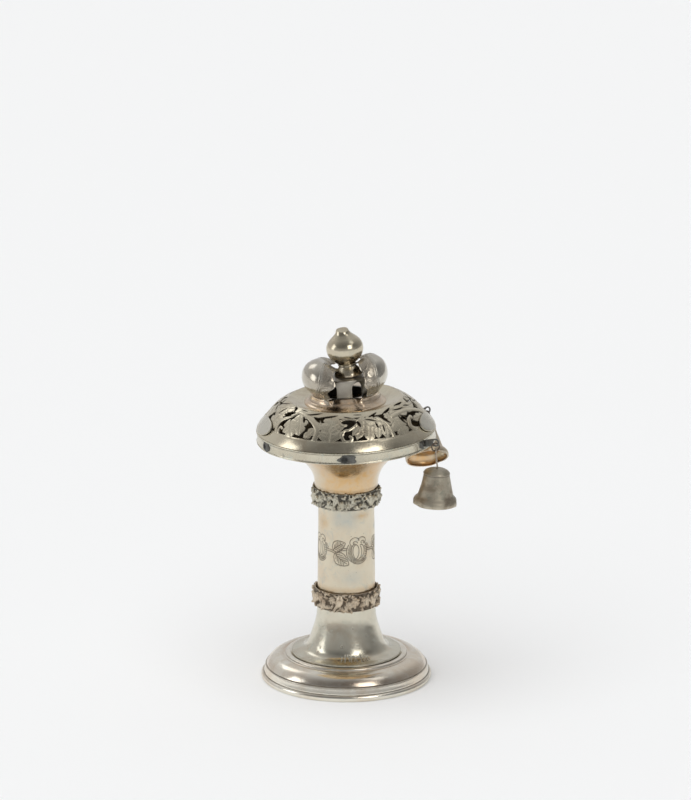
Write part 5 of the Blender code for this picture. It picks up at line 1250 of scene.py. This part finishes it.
def tube(name, points, radius, material, closed=False, sides=14, node=None, matrix=ROOT, uneven=0.06, seed=1):
    pts = [Vector(p) for p in (points if closed else curve_through(points, 4))]
    n = len(pts)
    r = np.random.default_rng(seed)
    phase = r.uniform(0, TAU, 4)
    tangents = []
    for i in range(n):
        a, b = (pts[i - 1], pts[(i + 1) % n]) if closed else (pts[max(i - 1, 0)], pts[min(i + 1, n - 1)])
        tangents.append((b - a).normalized())
    up = Vector((0, 0, 1)) if abs(tangents[0].z) < 0.9 else Vector((1, 0, 0))
    side_vector = tangents[0].cross(up).normalized()
    rows = []
    for i in range(n):
        side_vector = (side_vector - tangents[i] * side_vector.dot(tangents[i])).normalized()
        other = tangents[i].cross(side_vector)
        here = radius * (1 + uneven * math.sin(i * 0.9 + phase[0]) + uneven * 0.6 * math.sin(i * 2.3 + phase[1]))
        rows.append([pts[i] + (side_vector * math.cos(TAU * k / sides) + other * math.sin(TAU * k / sides)) * here for k in range(sides)])
    if closed:
        last = rows[-1]
        turn = min(range(sides), key=lambda q: (last[q] - rows[0][0]).length)
    verts = [tuple(p) for row in rows for p in row]
    quads = []
    for i in range(n if closed else n - 1):
        for k in range(sides):
            j = (i + 1) % n
            s = turn if (closed and i == n - 1) else 0
            if closed and i == n - 1:
                quads.append((i * sides + (k + s) % sides, i * sides + (k + 1 + s) % sides, j * sides + (k + 1) % sides, j * sides + k))
            else:
                quads.append((i * sides + k, i * sides + (k + 1) % sides, j * sides + (k + 1) % sides, j * sides + k))
    tris = []
    if not closed:
        for end, order in ((0, -1), (n - 1, 1)):
            sign = -1.0 if end == 0 else 1.0
            tip = pts[end] + tangents[end] * radius * 0.45 * sign
            hub = len(verts)
            verts.append(tuple(tip))
            for k in range(sides):
                tri = (end * sides + k, end * sides + (k + 1) % sides, hub)
                tris.append(tri[::order])
    return make(name, verts, [np.array(quads)] + ([np.array(tris)] if tris else []), matrix, material, node, 60.0, {"dirt_and_painted_dark": np.zeros(len(verts))})


def lug(name, azimuth):
    eye_r, eye_z, hole_r, wall = 53.9, 135.9, 1.45, 0.8
    outline = [(46.9, 133.0), (47.6, 132.85), (48.8, 133.1)]
    outline += [(eye_r + 2.15 * math.cos(math.radians(a)), eye_z + 2.15 * math.sin(math.radians(a))) for a in np.linspace(-112.0, 100.0, 20)]
    outline += [(49.2, 137.0), (47.6, 136.5), (46.9, 136.1)]
    ring = dense(outline + [outline[0]], 0.45)[:-1]
    count = len(ring)
    out, side_vector = place_on(azimuth), place_on(azimuth + 90.0)
    verts = []
    for layer, (grow, t) in enumerate(((-0.14, 1.0), (0.0, 0.72), (0.0, -0.72), (-0.14, -1.0))):
        for r, z in ring:
            d = math.hypot(r - eye_r, z - eye_z)
            k = (d + grow) / d
            p = out * (eye_r + (r - eye_r) * k) + Vector((0, 0, eye_z + (z - eye_z) * k)) + side_vector * (wall / 2 * t)
            verts.append(tuple(p))
    for layer, (grow, t) in enumerate(((0.14, 1.0), (0.0, 0.72), (0.0, -0.72), (0.14, -1.0))):
        for r, z in ring:
            d = math.hypot(r - eye_r, z - eye_z)
            k = (hole_r + grow) / d
            verts.append(tuple(out * (eye_r + (r - eye_r) * k) + Vector((0, 0, eye_z + (z - eye_z) * k)) + side_vector * (wall / 2 * t)))
    quads = []
    order = [0, 1, 2, 3, 7, 6, 5, 4]
    for a, b in zip(order, order[1:] + order[:1]):
        for i in range(count):
            j = (i + 1) % count
            quads.append((a * count + i, a * count + j, b * count + j, b * count + i))
    return make(name, verts, [np.array(quads)], CANOPY, solder_metal, None, 45.0, {"dirt_and_painted_dark": np.full(len(verts), 0.15)})


lug("lug_front", 60.0)
lug("lug_rear", 127.0)


def eye_place(azimuth):
    flat = place_on(azimuth) * 53.9 + Vector((0.0, 0.0, 4.9))
    return Matrix.Rotation(math.radians(-1.4), 3, "Y") @ flat + Vector((0.0, 0.0, 131.0))


def ring_frame(azimuth, swing, twist):
    out, side_vector = place_on(azimuth), place_on(azimuth + 90.0)
    away = out * math.sin(swing) - Vector((0.0, 0.0, 1.0)) * math.cos(swing)
    across = Matrix.Rotation(twist, 3, away) @ side_vector
    return eye_place(azimuth) + away * (2.05 + 0.4), away, away.cross(across)


for which, azimuth, swing, twist, seat in (("front", 60.0, 0.0, math.radians(48.0), FRONT_SEAT), ("rear", 127.0, 0.0, 0.0, REAR_SEAT)):
    centre, away, normal = ring_frame(azimuth, swing, twist)
    across = normal.cross(away)
    loop = [centre + (away * math.cos(TAU * i / 64) + across * math.sin(TAU * i / 64)) * 2.05 for i in range(64)]
    tube(f"ring_{which}_piece", loop, 0.42, wire_metal, True, 16, f"bell_ring_{which}", seed=3)
    far = centre + away * 2.05
    points = [far + normal * 1.1 * math.cos(math.radians(205.0 - 295.0 * i / 12.0)) - away * 1.1 * math.sin(math.radians(205.0 - 295.0 * i / 12.0)) for i in range(13)]
    local = ROOT.inverted() @ seat
    up = (local.to_3x3() @ Vector((0, 0, 1))).normalized()
    end = local @ Vector((0, 0, 19.3 + 0.1))
    knee = end + up * 1.4
    start = points[-1]
    for i in range(1, 5):
        points.append(start.lerp(knee, i / 4.0) + normal * 0.55 * math.sin(TAU * i / 4.0))
    points.append(end)
    tube(f"hook_{which}_piece", points, 0.42, hook_metal, False, 14, f"bell_hook_{which}", seed=5)


# ---------------------------------------------------------------------------------------- solder scars and dirt


def lump(name, azimuth, z, wide, tall, out_mm, seat, seed, hole=False, r=47.0, material=None, lean=0.0):
    """A rough patch of solder: a low mound hugging the band, ragged at its edge, with a pit where a pin tore out."""
    g = np.random.default_rng(seed)
    turns, rings = 48, 12
    phi = np.linspace(0, TAU, turns, endpoint=False)
    rho = np.linspace(0.03, 1.0, rings)
    P, Q = np.meshgrid(phi, rho, indexing="ij")
    ragged = 1 + sum(g.normal() * 0.07 * np.sin(m * P + g.uniform(0, TAU)) for m in (2, 3, 5, 7, 9))
    x, y = np.cos(P) * Q * ragged * wide / 2, np.sin(P) * Q * ragged * tall / 2
    height = out_mm * (1 - Q ** 2) ** 0.6 * (1 + 0.3 * np.sin(3 * x + g.uniform(0, 6)) * np.sin(4 * y + 1)) + 0.06 * np.sin(9 * x) * np.sin(11 * y)
    if hole:
        pit = np.exp(-((x * 1.0 + 0.15 * wide) ** 2 + y ** 2) / (0.17 * wide) ** 2)
        height = height - 1.2 * out_mm * pit
        dirt_and_painted_dark = np.clip(0.2 + 1.6 * pit, 0, 1)
    else:
        dirt_and_painted_dark = np.full(P.shape, 0.1)
    a = math.radians(azimuth) + x / r
    layers = []
    for h in (np.maximum(height, 0.03) + 0.02, np.full(P.shape, -0.25)):
        rr = r + h - y * lean
        layers.append(np.stack([rr * np.sin(a), -rr * np.cos(a), z + y], -1))
    v_, p_, carried, side = sheet(layers[0], layers[1], np.ones(P.shape), True, {"dirt_and_painted_dark": dirt_and_painted_dark})
    middle = np.arange(turns) * rings
    total = turns * rings
    caps = []
    for offset, order in ((0, 1), (total, -1)):
        hub = len(v_) + (0 if offset == 0 else 1)
        ring = middle + offset
        caps.append(np.stack([ring, np.roll(ring, -1), np.full(turns, hub)], -1)[:, ::-order])
    hubs = np.stack([layers[0][:, 0].mean(0), layers[1][:, 0].mean(0)])
    p_ = p_[:-1] + [p_[-1][~((np.isin(p_[-1], middle).sum(1) >= 1) & (np.isin(p_[-1], middle + total).sum(1) >= 1))]]
    return make(name, np.concatenate([v_, hubs]), p_ + caps, seat, material or solder_metal, None, 70.0, {"dirt_and_painted_dark": np.concatenate([carried["dirt_and_painted_dark"], [dirt_and_painted_dark[:, 0].mean()] * 2])})


lump("scar_left", -63.0, 133.9, 7.6, 5.2, 0.6, CANOPY, 1, True)
lump("scar_front", 0.7, 133.7, 9.4, 5.2, 0.6, CANOPY, 2, True)
lump("scar_back", 186.0, 133.8, 7.5, 4.8, 0.5, CANOPY, 3, True)
lump("scar_back_left", -125.0, 133.9, 7.0, 4.7, 0.5, CANOPY, 4, True)
lump("solder_bell_front", 57.8, 134.2, 4.6, 4.3, 0.8, CANOPY, 5)
lump("solder_bell_rear", 127.0, 134.4, 6.0, 4.2, 0.7, CANOPY, 6)

# ---------------------------------------------------------------------------------------- every CAD node left showing
# (none: each is replaced above)

# ---------------------------------------------------------------------------------------- stage, light, camera


def flat_colour(name, colour, rough=0.9, emission=None):
    made, tree = node_material(name)
    shader = tree.nodes.new("ShaderNodeBsdfPrincipled")
    shader.inputs["Base Color"].default_value = (*colour, 1.0)
    shader.inputs["Roughness"].default_value = rough
    out = tree.nodes.new("ShaderNodeOutputMaterial")
    tree.links.new(shader.outputs["BSDF"], out.inputs["Surface"])
    return made


def floor_disc():
    """A wide white floor."""
    shape = bmesh.new()
    bmesh.ops.create_circle(shape, cap_ends=True, segments=96, radius=4.5)
    mesh = bpy.data.meshes.new("studio_floor")
    shape.to_mesh(mesh)
    shape.free()
    made = bpy.data.objects.new("studio_floor", mesh)
    made.location = (0.0, 0.0, -0.00005)
    bpy.context.scene.collection.objects.link(made)
    mesh.materials.append(flat_colour("white floor", (0.90, 0.905, 0.905)))
    made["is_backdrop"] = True
    return made


floor_disc()


def lamp(name, azimuth, elevation, distance, wide, tall, radiance, colour=(1.0, 1.0, 1.0), height=0.12):
    """A softbox that looks at the part's middle and shows in its metal; azimuth from the front towards +X."""
    data = bpy.data.lights.new(name, "AREA")
    data.shape = "RECTANGLE"
    data.size, data.size_y = wide, tall
    data.energy = radiance * math.pi * wide * tall
    data.color = colour
    made = bpy.data.objects.new(name, data)
    a, e = math.radians(azimuth), math.radians(elevation)
    made.location = Vector((math.sin(a) * math.cos(e), -math.cos(a) * math.cos(e), math.sin(e))) * distance + Vector((0, 0, height))
    made.rotation_euler = (made.location - Vector((0, 0, height))).to_track_quat("Z", "Y").to_euler()
    made.visible_diffuse = False
    bpy.context.scene.collection.objects.link(made)
    return made


def fill(azimuth, elevation, angle, strength, colour):
    """A wide even light from above that lights the floor."""
    data = bpy.data.lights.new("fill", "SUN")
    data.energy, data.angle, data.color = strength, math.radians(angle), colour
    made = bpy.data.objects.new("fill", data)
    a, e = math.radians(azimuth), math.radians(elevation)
    made.rotation_euler = Vector((math.sin(a) * math.cos(e), -math.cos(a) * math.cos(e), math.sin(e))).to_track_quat("Z", "Y").to_euler()
    made.visible_glossy = False
    bpy.context.scene.collection.objects.link(made)
    return made


fill(-25.0, 66.0, 80.0, 2.20, (1.0, 1.0, 1.0))
lamp("right", 34.0, 36.0, 1.1, 0.46, 0.62, 2.7, (1.0, 0.98, 0.95))
lamp("top right", 78.0, 62.0, 1.1, 0.36, 0.36, 0.9, (1.0, 0.98, 0.95))
lamp("left", -84.0, 21.0, 1.1, 0.40, 0.62, 1.85, (0.98, 0.99, 1.0))
lamp("left back", -140.0, 38.0, 1.1, 0.35, 0.35, 1.1, (0.98, 0.99, 1.0))


def studio_world():
    """A room that is dim where the camera stands and pale behind the part."""
    world = bpy.data.worlds.new("studio")
    bpy.context.scene.world = world
    world.use_nodes = True
    nodes, links = world.node_tree.nodes, world.node_tree.links
    nodes.clear()
    place = nodes.new("ShaderNodeTexCoord")
    axes = nodes.new("ShaderNodeSeparateXYZ")
    links.new(place.outputs["Generated"], axes.inputs[0])

    def step(socket, low, high, a, b):
        n = nodes.new("ShaderNodeMapRange")
        n.interpolation_type = "SMOOTHSTEP"
        n.inputs["From Min"].default_value, n.inputs["From Max"].default_value = low, high
        n.inputs["To Min"].default_value, n.inputs["To Max"].default_value = a, b
        links.new(socket, n.inputs["Value"])
        return n.outputs["Result"]

    total = nodes.new("ShaderNodeMath")
    total.operation = "ADD"
    aside = nodes.new("ShaderNodeMath")                              # the room falls off to the right
    aside.operation = "MULTIPLY"
    links.new(step(axes.outputs["Y"], -0.65, 0.60, 0.16, 0.62), aside.inputs[0])
    links.new(step(axes.outputs["X"], 0.35, 0.85, 1.0, 0.55), aside.inputs[1])
    links.new(aside.outputs[0], total.inputs[0])
    low_front = nodes.new("ShaderNodeMath")
    low_front.operation = "MULTIPLY"
    links.new(step(axes.outputs["Z"], 0.05, 0.65, 0.32, 0.0), low_front.inputs[0])
    links.new(step(axes.outputs["Y"], -0.60, 0.10, 1.0, 0.0), low_front.inputs[1])
    links.new(low_front.outputs[0], total.inputs[1])
    room = nodes.new("ShaderNodeBackground")
    room.inputs["Color"].default_value = (0.99, 0.99, 1.0, 1.0)
    links.new(total.outputs[0], room.inputs["Strength"])
    out = nodes.new("ShaderNodeOutputWorld")
    links.new(room.outputs[0], out.inputs[0])


studio_world()
bpy.context.scene.view_settings.view_transform = "Standard"

camera_data = bpy.data.cameras.new("camera")
camera_data.lens = 292.5
camera_data.sensor_width = 36.0
camera = bpy.data.objects.new("camera", camera_data)
camera.location = (AXIS * MM - 0.000425, -3.271645, 1.121352)
camera.rotation_euler = (math.radians(73.5), 0.0, 0.0)
camera_data.clip_start, camera_data.clip_end = 0.1, 30.0
bpy.context.scene.collection.objects.link(camera)
bpy.context.scene.camera = camera

bpy.context.view_layer.update()
low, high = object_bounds()
